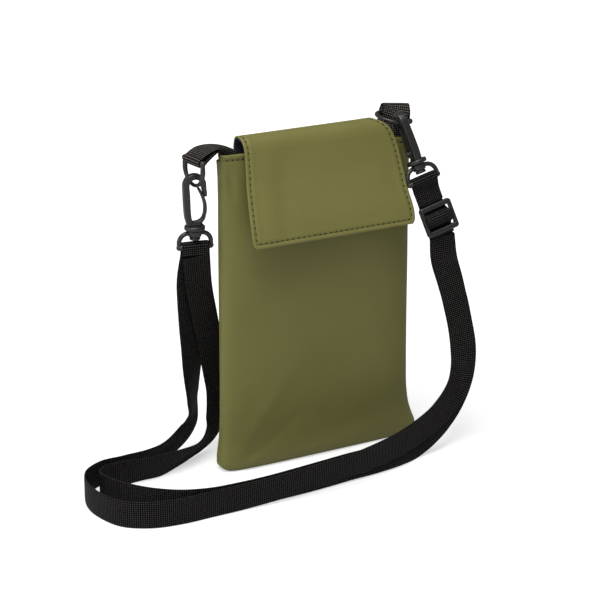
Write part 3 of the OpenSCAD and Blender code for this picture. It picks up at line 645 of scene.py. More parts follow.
far_across = np.array([
    [0.97, -0.22, 0.15], [0.98, -0.20, 0.10], [0.98, -0.18, 0.03], [0.98, -0.17, 0],
    [0.98, -0.17, -0.07], [0.96, -0.15, -0.22], [0.91, -0.14, -0.38],
    [0.80, -0.14, -0.58], [0.62, -0.16, -0.77], [0.46, -0.24, -0.86],
    [0.36, -0.34, -0.87], [0.30, -0.42, -0.86], [0.25, -0.45, -0.86],
    [0.20, -0.42, -0.88], [0.14, -0.36, -0.92], [0.08, -0.24, -0.97], [0.04, -0.10, -1],
    [0, 0, -1], [0, 0, -1], [0, 0, -1], [0, 0, -1], [0, 0, -1], [0, 0, -1], [0, 0, -1],
    [0, 0, -1], [0, 0.05, -1], [0.15, 0.25, -0.93], [0.06, 0.25, -0.96],
    [-0.15, 0.42, -0.90], [-0.27, 0.50, -0.82], [0.30, 0.55, -0.78], [0.78, 0.35, -0.52],
    [0.90, 0.12, -0.40], [0.96, 0.06, -0.25], [0.98, 0.04, -0.16], [1, 0.02, -0.08],
    [1, 0, -0.04], [1, -0.03, -0.03]])
print("far layer: picked points", len(far_route))

# %% [markdown]
# ## The strap's two layers
# The routes start at the slider's exit and end at the two legs of the left fold, so webbing
# meets webbing face to face.

# %% Strap layers
UNDER_Z, FAR_Z, EXIT_Y, SIDE, LEG_Y, LEG_L = 2.5, 4.15, 10.8, 0.6045, 2.5, 4.495
exit_at = slider_at + EXIT_Y * slider_y + SIDE * slider_x
near_points = np.concatenate([
    [exit_at - UNDER_Z * slider_z], near_route,
    [left_eye_at + LEG_Y * left_y - LEG_L * left_z]]) * MM
far_points = np.concatenate([
    [exit_at - FAR_Z * slider_z], far_route,
    [left_eye_at - LEG_Y * left_y - LEG_L * left_z]]) * MM
near_over = np.concatenate([[right_x], near_across, [left_x]])
far_over = np.concatenate([[right_x], far_across, [left_x]])
near_mesh, near_line = webbing_band(near_points, near_over, 520)
far_mesh, far_line = webbing_band(far_points, far_over, 520)
near_strap = put_band("strap_near", near_mesh, black_webbing, "pouch", "webbing",
                      "strap_near_run")
far_strap = put_band("strap_far", far_mesh, black_webbing, "pouch", "webbing", "strap_far_run")

# %% [markdown]
# ## Folds of webbing round bars
# Where webbing goes round a bar it leaves and comes back beside itself. A bend modifier could
# curl a straight strip, but a fold is easier to draw from the side, as a path of two numbers,
# down the strap and out of its front. The same band then runs along it.

# %% Side path helper
def arc(centre, radius, start, end, count):
    """Points on a circle from one angle to another, in degrees."""
    a = np.radians(np.linspace(start, end, count))
    return np.stack([centre[0] + radius * np.cos(a), centre[1] + radius * np.sin(a)], 1)


def side_fold(side, origin, x, y, z, shift, count):
    """A band of webbing along a path drawn from the side as (y, z) pairs in millimetres."""
    side = np.asarray(side, float)
    local = np.concatenate([np.full((len(side), 1), shift), side], 1)
    path = smooth_path(placed(local, origin, x, y, z), count)[0]
    return sweep(path, x, webbing_outline)


print("a half turn of radius 2.5 is", lengths(arc((0, 0), 2.5, 0, 180, 20))[-1].round(2), "mm")

# %% [markdown]
# ## Left fold
# At the left the strap simply goes round the eye's bar and comes back. Two short legs and a
# half turn are enough. The legs end where the strap's layers begin.

# %% Left fold round the eye's bar
left_side = np.concatenate([[[LEG_Y, -LEG_L], [LEG_Y, -2]], arc((0, 0), LEG_Y, 0, 180, 20),
                            [[-LEG_Y, -2], [-LEG_Y, -LEG_L]]])
fold = side_fold(left_side, left_eye_at, left_x, left_y, left_z, 0, 60)
put_band("strap_fold_left", fold, black_webbing, "pouch", "webbing", "left_strap_fold")

# %% [markdown]
# ## Right fold
# At the right the webbing comes up from the slider, goes round the eye's bar and ends in a
# sewn tongue. Below the eye it dives over the slider's middle bar and out again, which is what
# holds a slider in place. All of it is one path seen from the side, so it can't come apart.

# %% Right fold: sewn end, eye bar, over the slider's middle bar and out below it
NECK_Z, SEWN_Y, OVER_R, DIVE_Y = -1.744, 10.26, 3.3, 5.254
eye_run = float((slider_at - right_eye_at) @ slider_y)
right_side = np.concatenate([
    [[-SEWN_Y + 0.3, NECK_Z + 0.74], [-eye_run * 0.62, NECK_Z + 0.75],
     [-eye_run * 0.74, NECK_Z + 1.3]],
    arc((-eye_run, 0), LEG_Y, 62, 298, 22),
    [[-eye_run * 0.74, NECK_Z - 0.95], [-eye_run * 0.62, NECK_Z - 0.74],
     [-DIVE_Y - 2.2, -UNDER_Z], [-DIVE_Y, -UNDER_Z + 0.25]],
    arc((0, 0), OVER_R, 150, 30, 9),
    [[DIVE_Y, -UNDER_Z + 0.25], [DIVE_Y + 2.2, -UNDER_Z], [EXIT_Y, -UNDER_Z]]])
fold = side_fold(right_side, slider_at, slider_x, slider_y, slider_z, SIDE, 220)
put_band("strap_fold_right", fold, black_webbing, "pouch", "webbing", "right_strap_fold")

# %% [markdown]
# ## Slider fold
# The strap's other end is sewn round the slider's middle bar. It is a tight loop under the
# first one, drawn the same way, and its tail runs out beside the far layer.

# %% Fold round the slider's middle bar
loop_side = np.concatenate([
    arc((0, 0), 1.75, -30, 270, 24),
    [[1.2, -1.95], [4.3, -4.3], [6.2, -FAR_Z], [EXIT_Y, -FAR_Z]]])
fold = side_fold(loop_side, slider_at, slider_x, slider_y, slider_z, SIDE, 90)
put_band("strap_fold_slider", fold, black_webbing, "pouch", "webbing", "slider_fold")

# %% [markdown]
# ## The tabs
# Each tab is a short length of the same webbing, folded in half round the ring's bar and sewn
# into the pouch's corner. Two separate layers would leave the loop open, so the path goes up
# one layer, round the bar and back down the other. A tab that leans sideways shears like a
# cloth, so its across direction is kept as given.

# %% Tab helpers
TAB_LOOP = 2.05


def folded_tab(points, across, loop, above, below, count, skip=0):
    """Webbing that runs from its root to a bar, round it by a loop, and back beside itself.

    above and below are the two layers' distances from the points, in millimetres, at 0, 5, 12
    and 20 mm from the bar. skip leaves out the first places beside the bar."""
    path, over = smooth_path(points, 60, across)
    _, x, z = path_frames(path, over, square=False)
    at = np.array([0, 5, 12, 20.0])
    up_by = np.interp(lengths(path), at, above)[:, None]
    down_by = np.interp(lengths(path), at, below)[:, None]
    outer, inner = (path + z * up_by)[skip:][::-1], (path - z * down_by)[skip:]
    whole = np.concatenate([outer, loop[1:-1], inner])
    xs = np.concatenate([x[skip:][::-1], np.tile(x[0], (len(loop) - 2, 1)), x[skip:]])
    smooth, over = smooth_path(whole * MM, count, xs)
    return sweep(smooth, over, webbing_outline, square=False)


def bar_loop(bar_at, first, second, start, end):
    """Half turn of webbing round a bar, between two angles from one direction to the other."""
    a = np.radians(np.linspace(start, end, 22))[:, None]
    return bar_at + TAB_LOOP * (np.cos(a) * first + np.sin(a) * second)


print("a tab's loop is", round(2 * TAB_LOOP - STRAP_T / MM, 2), "mm wide inside")

# %% [markdown]
# ## Left tab
# The left tab rises from the pouch's corner, turns over to the front and hangs outwards with
# the ring in its end. Its bend is the most visible webbing of the whole object, so the points
# and the across directions are given one by one along the real bend.

# %% Left tab
left_tab_points = np.array([
    [-77.1, 1, 189.55], [-75.2, 1, 190.9], [-71.6, 1.1, 192.6], [-67.2, 1.5, 193.4],
    [-62.2, 2.6, 192.9], [-57, 3.9, 190.8], [-53, 4.2, 187], [-51.6, 3.6, 181.5],
    [-51.4, 3.1, 176]])
left_tab_over = unit([
    [0.1, -0.995, 0], [0.1, -0.995, 0], [0.08, -0.995, 0], [-0.02, -0.99, 0.04],
    [-0.28, -0.95, 0.08], [-0.62, -0.72, 0.12], [-0.93, -0.3, 0.1], [-1, -0.03, 0], [-1, 0, 0]])
left_loop = bar_loop(left_bar_at, left_z, np.cross(left_bar, left_z), 0, 180)
left_tab = folded_tab(left_tab_points, left_tab_over, left_loop, [0, 0, 0, 0],
                      [4.1, 3.3, 1.9, 1.42], 220)
put_band("tab_left", left_tab, webbing_tab_painted_highlight, "pouch", "webbing", "left_tab")

# %% [markdown]
# ## Right tab
# The right tab stands up and leans to the front, and its loop goes almost all the way round
# the bar. It is made by the same helper from other points, with equal layers all along.

# %% Right tab
right_up = off_axis([0, 0, 1.0], right_bar)
right_tab_points = np.array([
    [56.6, 5.4, 196.9], [57.1, 6.2, 199.0], [57.4, 7.6, 200.8], [57.4, 9.4, 200.8],
    [57, 10.7, 198.9], [56, 10.6, 195.5], [53.6, 8.6, 190.2], [50.6, 5.2, 185],
    [49.6, 4.2, 177]])
right_tab_over = unit([
    [0.54, -0.82, -0.17], [0.66, -0.75, -0.08], [0.79, -0.61, 0], [0.86, -0.51, 0],
    [0.88, -0.47, 0], [0.90, -0.43, 0], [0.93, -0.35, 0], [0.99, -0.1, 0], [1, 0, 0]])
right_loop = bar_loop(right_bar_at, np.cross(right_bar, right_up), right_up, 20, -200)
half_gap = [0.714] * 4
right_tab = folded_tab(right_tab_points, right_tab_over, right_loop, half_gap, half_gap, 200, 6)
put_band("tab_right", right_tab, webbing_tab_painted_highlight, "pouch", "webbing", "right_tab")

# %% [markdown]
# ## Turned shapes and wire
# Knobs, collars and posts are round, and they could be cylinders with bevels. A profile
# turned round an axis gives the same shapes with their real rounded edges in one step. Wire
# is a circle carried along a path, and its radius may change on the way.

# %% Turned shapes
def lathe(radii, heights, count=32):
    """A profile of radii and heights turned round Z, closed at both ends, in millimetres."""
    a = np.linspace(0, 2 * np.pi, count, endpoint=False)
    radii, heights = np.asarray(radii, float), np.asarray(heights, float)
    ring = np.stack([np.cos(a), np.sin(a)], 1)
    grid = np.concatenate([radii[:, None, None] * ring[None],
                           np.broadcast_to(heights[:, None, None], (len(radii), count, 1))], 2)
    n = grid.shape[0] * count
    points = np.concatenate([grid.reshape(-1, 3), [[0, 0, heights[0]], [0, 0, heights[-1]]]])
    k = np.arange(count)
    last = (len(radii) - 1) * count
    faces = [grid_faces(len(radii), count, wrap=True),
             np.stack([np.full(count, n), (k + 1) % count, k], 1),
             np.stack([np.full(count, n + 1), last + k, last + (k + 1) % count], 1)]
    corners = 4 * len(faces[0]) + 6 * count
    return points, faces, np.zeros((corners, 2))


def ball(centre, radius, rows=14, count=24):
    """A ball as a turned half circle."""
    a = np.linspace(-np.pi / 2 + 0.12, np.pi / 2 - 0.12, rows)
    p, f, uv = lathe(radius * np.cos(a), radius * np.sin(a), count)
    return p + np.asarray(centre, float), f, uv


def round_wire(path, across, radius, closed=False, count=16):
    """Round wire along a path, of one radius or one for each point."""
    a = np.linspace(0, 2 * np.pi, count, endpoint=False)
    ring = np.stack([np.cos(a), np.sin(a)], 1)
    return sweep(path, across, ring * np.reshape(radius, (-1, 1, 1)), closed)


print("a knob has", sum(len(group) for group in ball((0, 0, 0), 1)[1]), "faces")

# %% [markdown]
# ## The rings
# A ring is a moulded D: a straight bar that the tab holds, and a bow. A torus cut in half
# would have the wrong corners, so the wire is one round profile along a closed path. Its limbs
# are a little fuller beside the bar and slimmer at the bow, and the corners swell into knobs.

# %% Rings
RING_R, RING_TALL, RING_WIRE, KNOB = 9.15, 14, 1.25, 1.36


def ring_mesh():
    """The D-ring in its own millimetres: bar along X, bow towards +Y."""
    bow = arc((0, RING_TALL - RING_R), RING_R, 0, 180, 48)
    bar = np.stack([np.linspace(-RING_R, RING_R, 24)[1:-1], np.zeros(22)], 1)
    path = np.concatenate([[[RING_R, 0]], bow, [[-RING_R, 0]], bar])
    path = np.concatenate([path, np.zeros((len(path), 1))], 1)
    limb = RING_WIRE + 0.2 * np.exp(-((path[:, 1] - 4.5) / 3) ** 2)
    limb -= 0.18 * np.clip((path[:, 1] - 9) / 4, 0, 1)
    wire = round_wire(path, [0, 0, 1.0], limb, closed=True)
    knob = RING_WIRE * KNOB
    return join(wire, ball((RING_R, 0, 0), knob), ball((-RING_R, 0, 0), knob))


def put_placed(name, mesh, frame_axes, material, body, slot, *nodes):
    """Places a local mesh by its frame and finishes it."""
    band = (placed(mesh[0], *frame_axes), mesh[1], mesh[2])
    return put_band(name, band, material, body, slot, *nodes)


left_hang = np.array([0, 0, -1.0])
left_ring_axes = (left_bar_at, left_bar, left_hang, np.cross(left_bar, left_hang))
right_ring_axes = (right_bar_at, right_bar, right_lie, np.cross(right_bar, right_lie))
put_placed("ring_left", ring_mesh(), left_ring_axes, black_plastic, "left_ring",
           "clip_plastic", "left_ring")
put_placed("ring_right", ring_mesh(), right_ring_axes, black_plastic, "right_ring",
           "clip_plastic", "right_ring")

# %% [markdown]
# ## The clips' eyes
# Each swivel clip has three moulded pieces: eye, hook and gate. The eye is a loop that the
# webbing holds, with a bored boss for the hook's post. Its loop could be half a torus, but
# the real one has flat sides and round corners, so the wire follows a path with two bends.

# %% Eye
EYE_X, EYE_TOP, EYE_BEND, EYE_R = 9.2, 8.0, 5.4, 1.32


def eye_mesh():
    """The eye in its own millimetres: straight bar along X, loop above it, and the boss."""
    corner_r = arc((EYE_X - EYE_BEND, EYE_TOP - EYE_BEND), EYE_BEND, 0, 90, 12)
    corner_l = arc((-EYE_X + EYE_BEND, EYE_TOP - EYE_BEND), EYE_BEND, 90, 180, 12)
    xz = np.concatenate([[[EYE_X, 0], [EYE_X, 2]], corner_r, corner_l, [[-EYE_X, 2],
                                                                       [-EYE_X, 0]]])
    path = np.stack([xz[:, 0], np.zeros(len(xz)), xz[:, 1]], 1)
    loop = round_wire(smooth_path(path, 90)[0], [0, 1.0, 0], EYE_R)
    bar = np.stack([np.linspace(-EYE_X, EYE_X, 12), np.zeros(12), np.zeros(12)], 1)
    boss = lathe([2.2, 3.3, 3.7, 4.1, 4.0, 2.2], [5.88, 5.9, 6.3, 8.9, 9.5, 9.61])
    return join(loop, round_wire(bar, [0, 1.0, 0], 1.7), ball((EYE_X, 0, 0), 1.6),
                ball((-EYE_X, 0, 0), 1.6), boss)


left_axes = (left_eye_at, left_x, left_y, left_z)
right_axes = (right_eye_at, right_x, right_y, right_z)
right_hook_axes = (right_eye_at, right_hook_x, right_hook_y, right_z)
put_placed("eye_left", eye_mesh(), left_axes, black_plastic, "left_eye", "clip_plastic",
           "left_eye")
put_placed("eye_right", eye_mesh(), right_axes, black_plastic, "right_eye", "clip_plastic",
           "right_eye")

# %% [markdown]
# ## The clips' hooks
# The hook's post turns in the eye's bore. Above the collar a flat limb rises at one side,
# curves over into a bow and ends in a nose, and a short foot at the other side carries the
# gate. Box modelling with a subdivision would round every edge alike. A full superellipse
# along a path keeps the limb's flat faces and crisp edges, and its width and depth can change
# on the way from the base to the nose.

# %% Hook limb
def hook_limb():
    """The spine, bow and nose: a flat profile whose sizes change along the path."""
    bow = arc((0.3, 35.5), 4.95, 172, 0, 40)
    xz = np.concatenate([[[-2.7, 12.6], [-3.3, 14.8], [-3.9, 17.5], [-4.2, 21], [-4.4, 26],
                          [-4.55, 31]], bow,
                         [[5.5, 33.4], [5.9, 31.4], [6.2, 30.0], [6.4, 28.8]]])
    path = np.stack([xz[:, 0], np.zeros(len(xz)), xz[:, 1]], 1)
    path = smooth_path(path, 110)[0]
    s = lengths(path) / lengths(path)[-1]
    wide = np.interp(s, [0, 0.12, 0.36, 0.50, 0.70, 0.86, 0.96, 1],
                     [3.4, 3.6, 3.8, 3.6, 3.3, 2.8, 2.1, 1.5])
    deep = np.interp(s, [0, 0.12, 0.85, 0.96, 1], [4.6, 4.6, 4.3, 3.9, 3.0])
    outline = rounded_profile(1, 1, 32, power=6.0)
    profile = np.stack([outline[None, :, 0] * deep[:, None], outline[None, :, 1] * wide[:, None]],
                       -1)
    return sweep(path, [0, 1.0, 0], profile)


print("hook limb faces:", len(hook_limb()[1][0]))

# %% [markdown]
# ## Base and foot of the hook
# Between the limb and the collar the moulding widens into a base, and a foot curves up at the
# other side. Both are blocks with soft corners. A scaled cube with a bevel would have the
# same width all the way up, so each is a profile whose sizes change as it rises.

# %% Hook base and foot
def hook_base():
    """The base on the collar: a rounded block carried upwards through six sizes."""
    rise = np.array([12.2, 12.35, 12.8, 13.3, 13.6, 13.7])
    base_path = np.stack([np.zeros(6), np.zeros(6), rise], 1)
    across = np.array([8.4, 9.2, 9.4, 9.0, 8.6, 7.6])
    depth = np.array([4.2, 4.7, 4.9, 4.7, 4.3, 3.0])
    outline = rounded_profile(1, 1, 36, power=3.6)
    profile = np.stack([outline[None, :, 0] * across[:, None],
                        outline[None, :, 1] * depth[:, None]], -1)
    return sweep(base_path, [1.0, 0, 0], profile)


def hook_foot():
    """The foot that carries the gate: a flat profile along a rising curve."""
    path = smooth_path([[-3.4, 0, 14.1], [-1.2, 0, 13.8], [1.0, 0, 13.9], [3.2, 0, 14.6],
                        [4.8, 0, 16.1], [5.6, 0, 18.3]], 40)[0]
    leaf = rounded_profile(1, 1, 24, power=4)
    wide = np.interp(np.linspace(0, 1, 40), [0, 0.6, 1], [2.4, 2.1, 1.6])
    profile = np.stack([leaf[None, :, 0] * np.full((40, 1), 3.8),
                        leaf[None, :, 1] * wide[:, None]], -1)
    return sweep(path, [0, 1.0, 0], profile)


print("hook base and foot faces:", len(hook_base()[1][0]), len(hook_foot()[1][0]))

# %% [markdown]
# ## Collar and post of the hook
# The collar rests on the eye's boss and the post turns in its bore. Both are round, so they
# are turned, and the hook is then all its parts together.

# %% Hook
def hook_mesh():
    """The hook in its own millimetres: post, collar, base, foot, spine, bow and nose."""
    collar = lathe([2.0, 5.3, 5.8, 5.9, 5.8, 5.3, 2.0],
                   [9.83, 9.84, 10.2, 11.1, 11.9, 12.35, 12.39])
    post = lathe([0.4, 2.7, 3.1, 3.0, 2.0, 2.0, 2.0],
                 [4.08, 4.1, 4.5, 5.6, 5.68, 6.5, 9.9])
    return join(hook_limb(), hook_base(), hook_foot(), collar, post)


put_placed("hook_left", hook_mesh(), left_axes, black_plastic, "left_hook", "clip_plastic",
           "left_hook")
put_placed("hook_right", hook_mesh(), right_hook_axes, black_plastic, "right_hook",
           "clip_plastic", "right_hook")

# %% [markdown]
# ## The clips' gates
# The gate is a thin leaf that springs against the nose from inside. It is its own piece
# because it moves: pushed in, it lets the ring pass. The left one shows its bowed side. The
# right one lies beside the pouch, edge on, and is straight, so that it stays clear of the
# cloth when the clip tilts.

# %% Gate
def gate_mesh(root, tip, bow, leaf):
    """The gate in its own millimetres: a thin leaf between two (x, z) points, root and tip.

    bow is how much of the full outward curve it has, and leaf is its greatest thickness."""
    share = np.array([0, 0.14, 0.285, 0.444, 0.603, 0.735, 0.868, 1])
    curve = np.array([0, 0.76, 1.29, 1.56, 1.39, 1.13, 0.56, 0])
    x = root[0] + share * (tip[0] - root[0]) + bow * curve
    z = root[1] + share * (tip[1] - root[1])
    path = smooth_path(np.stack([x, np.zeros(8), z], 1), 60)[0]
    s = np.linspace(0, 1, 60)
    thick = leaf * np.interp(s, [0, 0.1, 0.8, 1], [0.83, 1, 0.94, 0.72])
    outline = rounded_profile(1, 1, 20, power=4)
    profile = np.stack([outline[None, :, 0] * np.full((60, 1), 3.8),
                        outline[None, :, 1] * thick[:, None]], -1)
    return sweep(path, [0, 1.0, 0], profile)


left_leaf = gate_mesh((5.7, 18.5), (2.4, 33.6), 1, 1.8)
right_leaf = gate_mesh((4.8, 18.3), (2.0, 32.6), 0, 1.3)
put_placed("gate_left", left_leaf, left_axes, black_plastic, "left_gate", "clip_plastic",
           "left_gate")
put_placed("gate_right", right_leaf, right_hook_axes, black_plastic, "right_gate",
           "clip_plastic", "right_gate")

# %% [markdown]
# ## The slider
# The slider is a flat frame with a middle bar. A plate with two holes cut by a Boolean would
# have sharp inner edges to bevel. Here two rounded rectangles lie one inside the other and a
# rounded wall runs between them all the way round, which gives both edges at once.

# %% Frame between two outlines
def rounded_rectangle(width, length, corner, count=96):
    """Points round a rectangle with round corners, evenly by angle of travel."""
    w, h = width / 2 - corner, length / 2 - corner
    parts = [arc((sx * w, sy * h), corner, start, start + 90, count // 4)
             for sx, sy, start in ((1, 1, 0), (-1, 1, 90), (-1, -1, 180), (1, -1, 270))]
    return np.concatenate(parts)


def frame_between(outer, inner, thick, power=3.5, count=20):
    """A closed wall between two outlines: a rounded section carried from one to the other."""
    outline = rounded_profile(1, thick, count, power)
    middle, half = (outer + inner) / 2, (outer - inner)
    flat = middle[:, None] + half[:, None] * outline[None, :, :1]
    grid = np.concatenate([flat, np.broadcast_to(outline[None, :, 1:], flat.shape[:2] + (1,))], 2)
    rows, cols = grid.shape[:2]
    faces = grid_faces(rows + 1, cols, wrap=True) % (rows * cols)
    return grid.reshape(-1, 3), [faces], np.zeros((4 * len(faces), 2))


print("an outline has", len(rounded_rectangle(2, 2, 0.5)), "points")

# %% [markdown]
# The slider itself is that frame at its real sizes, and a round bar across its middle, which
# the webbing goes over.

# %% Slider
SLIDER_W, SLIDER_L, SLIDER_T, SIDE_WALL, WINDOW_L = 20.4, 18, 3.5, 2.15, 11.6
outer = rounded_rectangle(SLIDER_W, SLIDER_L, 1.9)
inner = rounded_rectangle(SLIDER_W - 2 * SIDE_WALL, WINDOW_L, 0.8)
middle = np.stack([np.linspace(-9.4, 9.4, 16), np.zeros(16), np.zeros(16)], 1)
slider_mesh = join(frame_between(outer, inner, SLIDER_T), round_wire(middle, [0, 1.0, 0], 1.0))
slider_axes = (slider_at, slider_x, slider_y, slider_z)
put_placed("slider_frame", slider_mesh, slider_axes, black_plastic, "pouch", "clip_plastic",
           "slider")

# %% [markdown]
# ## Cloth with thickness
# A panel of cloth is a grid for its middle surface. The Solidify modifier could thicken it,
# but it leaves square edges. Here half the thickness goes to each side along the surface's
# normals, and a half-round rim joins the sides, so that every edge catches the light as a
# folded edge does.

# %% Cloth helper
def cloth(grid, thick, turns=4):
    """Points and faces of a sheet: both sides of a middle grid and a half-round rim."""
    du, dv = np.gradient(grid, axis=1), np.gradient(grid, axis=0)
    n = np.cross(du, dv)
    size = np.linalg.norm(n, axis=2, keepdims=True)
    n = n / np.maximum(size, 1e-15)
    h = thick / 2
    rows, cols = grid.shape[:2]
    index = np.arange(rows * cols).reshape(rows, cols)
    loop = np.concatenate([index[0, :-1], index[:-1, -1], index[-1, :0:-1], index[:0:-1, 0]])
    out = np.zeros_like(grid)
    out[0] -= unit(dv[0] + 1e-12)
    out[-1] += unit(dv[-1] + 1e-12)
    out[:, 0] -= unit(du[:, 0] + 1e-12)
    out[:, -1] += unit(du[:, -1] + 1e-12)
    out = unit(out.reshape(-1, 3)[loop])
    edge, edge_n = grid.reshape(-1, 3)[loop], n.reshape(-1, 3)[loop]
    a = np.linspace(0, np.pi, turns + 1)[1:-1, None, None]
    rim = edge[None] + out[None] * h * np.sin(a) + edge_n[None] * h * np.cos(a)
    top, bottom = (grid + n * h).reshape(-1, 3), (grid - n * h).reshape(-1, 3)
    count, m = rows * cols, len(loop)
    faces = grid_faces(rows, cols)
    rings = np.concatenate([[loop], 2 * count + np.arange((turns - 1) * m).reshape(-1, m),
                            [count + loop]])
    a, b = rings[:-1], rings[1:]
    sides = np.stack([a, b, np.roll(b, -1, 1), np.roll(a, -1, 1)], -1).reshape(-1, 4)
    points = np.concatenate([top, bottom, rim.reshape(-1, 3)])
    return points, [faces, faces[:, ::-1] + count, sides]


def put_cloth(name, grid, thick, material, body, slot, *nodes, turns=4):
    """One finished piece of cloth from its middle grid and thickness in millimetres."""
    points, faces = cloth(grid * MM, thick * MM, turns)
    return finish_piece(put_mesh(name, points, faces, material), body, slot, *nodes)


flat = np.stack([*np.meshgrid([0, 1.0, 2.0], [0, 1.0, 2.0]), np.zeros((3, 3))], 2)
print("a sheet of 3 by 3 points gets", len(cloth(flat, 0.1)[0]), "points with its rim")

# %% [markdown]
# ## The pouch
# The shell is two panels sewn along the sides and the bottom, and it is neither a box nor a
# cushion. Cloth simulation could puff two flat panels up, but the real one stands by its own
# stiffness. So it is lofted: seen from above, each height is an outline between an ellipse
# and a rectangle, wide and shallow at the mouth and fuller below it. The table gives the rows
# as shares of the half width and half depth, and as the power of the outline.

# %% Shape of the pouch
HALF_W, HALF_T, BODY_H, FRONT_RISE = 61.7, 9.25, 185.0, 4.2
pouch_rows = np.array([
    [0, 0.985, 0.985, 0.70, 0.70, 4.5], [0.0045, 1.010, 1.005, 0.82, 0.82, 4.5],
    [0.014, 1.040, 1.070, 0.90, 0.90, 4.4], [0.032, 1.050, 1.090, 0.94, 0.93, 4.2],
    [0.058, 1.044, 1.062, 0.97, 0.95, 4.0], [0.095, 1.030, 1.022, 0.99, 0.96, 3.8],
    [0.150, 1.020, 0.995, 1.01, 0.97, 3.5], [0.240, 1.016, 0.988, 1.03, 0.98, 3.2],
    [0.350, 1.016, 0.986, 1.05, 0.98, 3.0], [0.470, 1.016, 0.986, 1.05, 0.98, 2.9],
    [0.590, 1.016, 0.986, 1.04, 0.97, 2.9], [0.700, 1.016, 0.986, 0.98, 0.94, 2.9],
    [0.780, 1.014, 0.986, 0.88, 0.91, 3.0], [0.850, 1.011, 0.986, 0.74, 0.88, 3.2],
    [0.905, 1.008, 0.988, 0.62, 0.86, 3.6], [0.950, 1.004, 0.990, 0.52, 0.84, 4.6],
    [0.980, 1.002, 0.992, 0.46, 0.83, 6.0], [1, 1, 0.994, 0.43, 0.822, 8]])
print("pouch", 2 * HALF_W, "mm wide and", BODY_H, "mm high, from", len(pouch_rows), "rows")

# %% [markdown]
# ## Surface of the pouch
# The corners of an outline need as many points as its long sides, and equal steps of the
# angle would crowd them. So each outline is first worked out finely, then picked again at
# even distances along it. Near the floor the wall closes to the middle line, where both
# panels are sewn together.

# %% Pouch surface
FINE = 1601


def section_rows(h, side, inset, columns):
    """Outline of the wall at heights h, as (x, y) evenly spaced along each outline."""
    left = through(h, pouch_rows[:, 0], pouch_rows[:, 1]) * HALF_W - inset
    wide = through(h, pouch_rows[:, 0], pouch_rows[:, 2]) * HALF_W - inset
    deep = through(h, pouch_rows[:, 0], pouch_rows[:, 3 if side < 0 else 4]) * HALF_T - inset
    power = through(h, pouch_rows[:, 0], pouch_rows[:, 5])
    a = np.linspace(0, np.pi, FINE)
    c, s = np.cos(a) * side, np.sin(a)
    reach = np.where(c[None] < 0, left[:, None], wide[:, None])
    x = np.sign(c)[None] * reach * np.abs(c)[None] ** (2 / power[:, None])
    y = side * deep[:, None] * np.abs(s)[None] ** (2 / power[:, None])
    step = np.hypot(np.diff(x, axis=1), np.diff(y, axis=1))
    run = np.concatenate([np.zeros((len(h), 1)), np.cumsum(step, 1)], 1)
    share = np.linspace(0, 1, columns)
    take = np.array([np.interp(share * r[-1], r, np.arange(FINE)) for r in run])
    low = np.clip(take.astype(int), 0, FINE - 2)
    part = take - low
    rows = np.arange(len(h))[:, None]
    xs = x[rows, low] * (1 - part) + x[rows, low + 1] * part
    ys = y[rows, low] * (1 - part) + y[rows, low + 1] * part
    return xs, ys


def wall_grid(side, inset, heights, columns=141):
    """The wall as a grid in millimetres, with the base closed to the middle line."""
    xs, ys = section_rows(heights, side, inset, columns)
    rise = (1 - xs / HALF_W) * FRONT_RISE / 2 if side < 0 else np.zeros_like(xs)
    z = inset + heights[:, None] * (BODY_H + rise - inset)
    wall = np.stack([xs, ys, z], 2)
    inward = np.linspace(0, 1, 7)[:-1][:, None, None]
    base = wall[:1] * np.array([1, 0, 1]) * np.array([0.97, 1, 1]) * (1 - inward)
    base = base + wall[:1] * inward
    return np.concatenate([base, wall])


print("rows of the front wall:", len(wall_grid(-1, 0.5, np.linspace(0, 1, 5))))

# %% [markdown]
# ## Front and back panels
# Coated cloth is stiff, so its creases are few, long and shallow. They could be painted as
# bump, but then the outline would stay straight, so they move the surface itself: each crease
# is a ridge along a line that fades at both ends. The turned hem at the mouth is a groove and
# a raised edge, as its stitching makes it.

# %% Creases
def soft_folds(x, z):
    """Shallow creases of the front, in millimetres: long ridges that fade at both ends."""
    lines = [((-60, 6), (-20, 60), 5.0, 0.55), ((-58, 4), (30, 26), 7.0, 0.45),
             ((-50, 170), (-30, 110), 9.0, -0.35), ((58, 8), (38, 70), 8.0, 0.35),
             ((20, 150), (50, 90), 14.0, 0.3), ((-58, 184), (-55, 160), 2.6, -0.7),
             ((-62, 16), (-44, 1), 3.2, 0.8), ((-57, 2), (-8, 34), 4.0, -0.5),
             ((-66, 0), (64, 14), 5.5, 0.95), ((-57, 1), (-36, 10), 2.6, 0.5)]
    total = np.zeros_like(x)
    for (x0, z0), (x1, z1), width, size in lines:
        d = np.array([x1 - x0, z1 - z0], float)
        run = np.hypot(*d)
        d = d / run
        along = ((x - x0) * d[0] + (z - z0) * d[1]) / run
        aside = (x - x0) * -d[1] + (z - z0) * d[0]
        fade = np.clip(1 - (2 * along - 1) ** 2, 0, 1)
        total += size * fade * np.exp(-(aside / width) ** 2)
    return total


corner_crease = soft_folds(np.array([-53.0]), np.array([8.0])).item()
print("crease at the lower left corner:", round(corner_crease, 2), "mm")

# %% [markdown]
# The two panels are then the same surface on the front and on the back. Rows lie closer at
# the bottom and at the mouth, where the shape changes most.

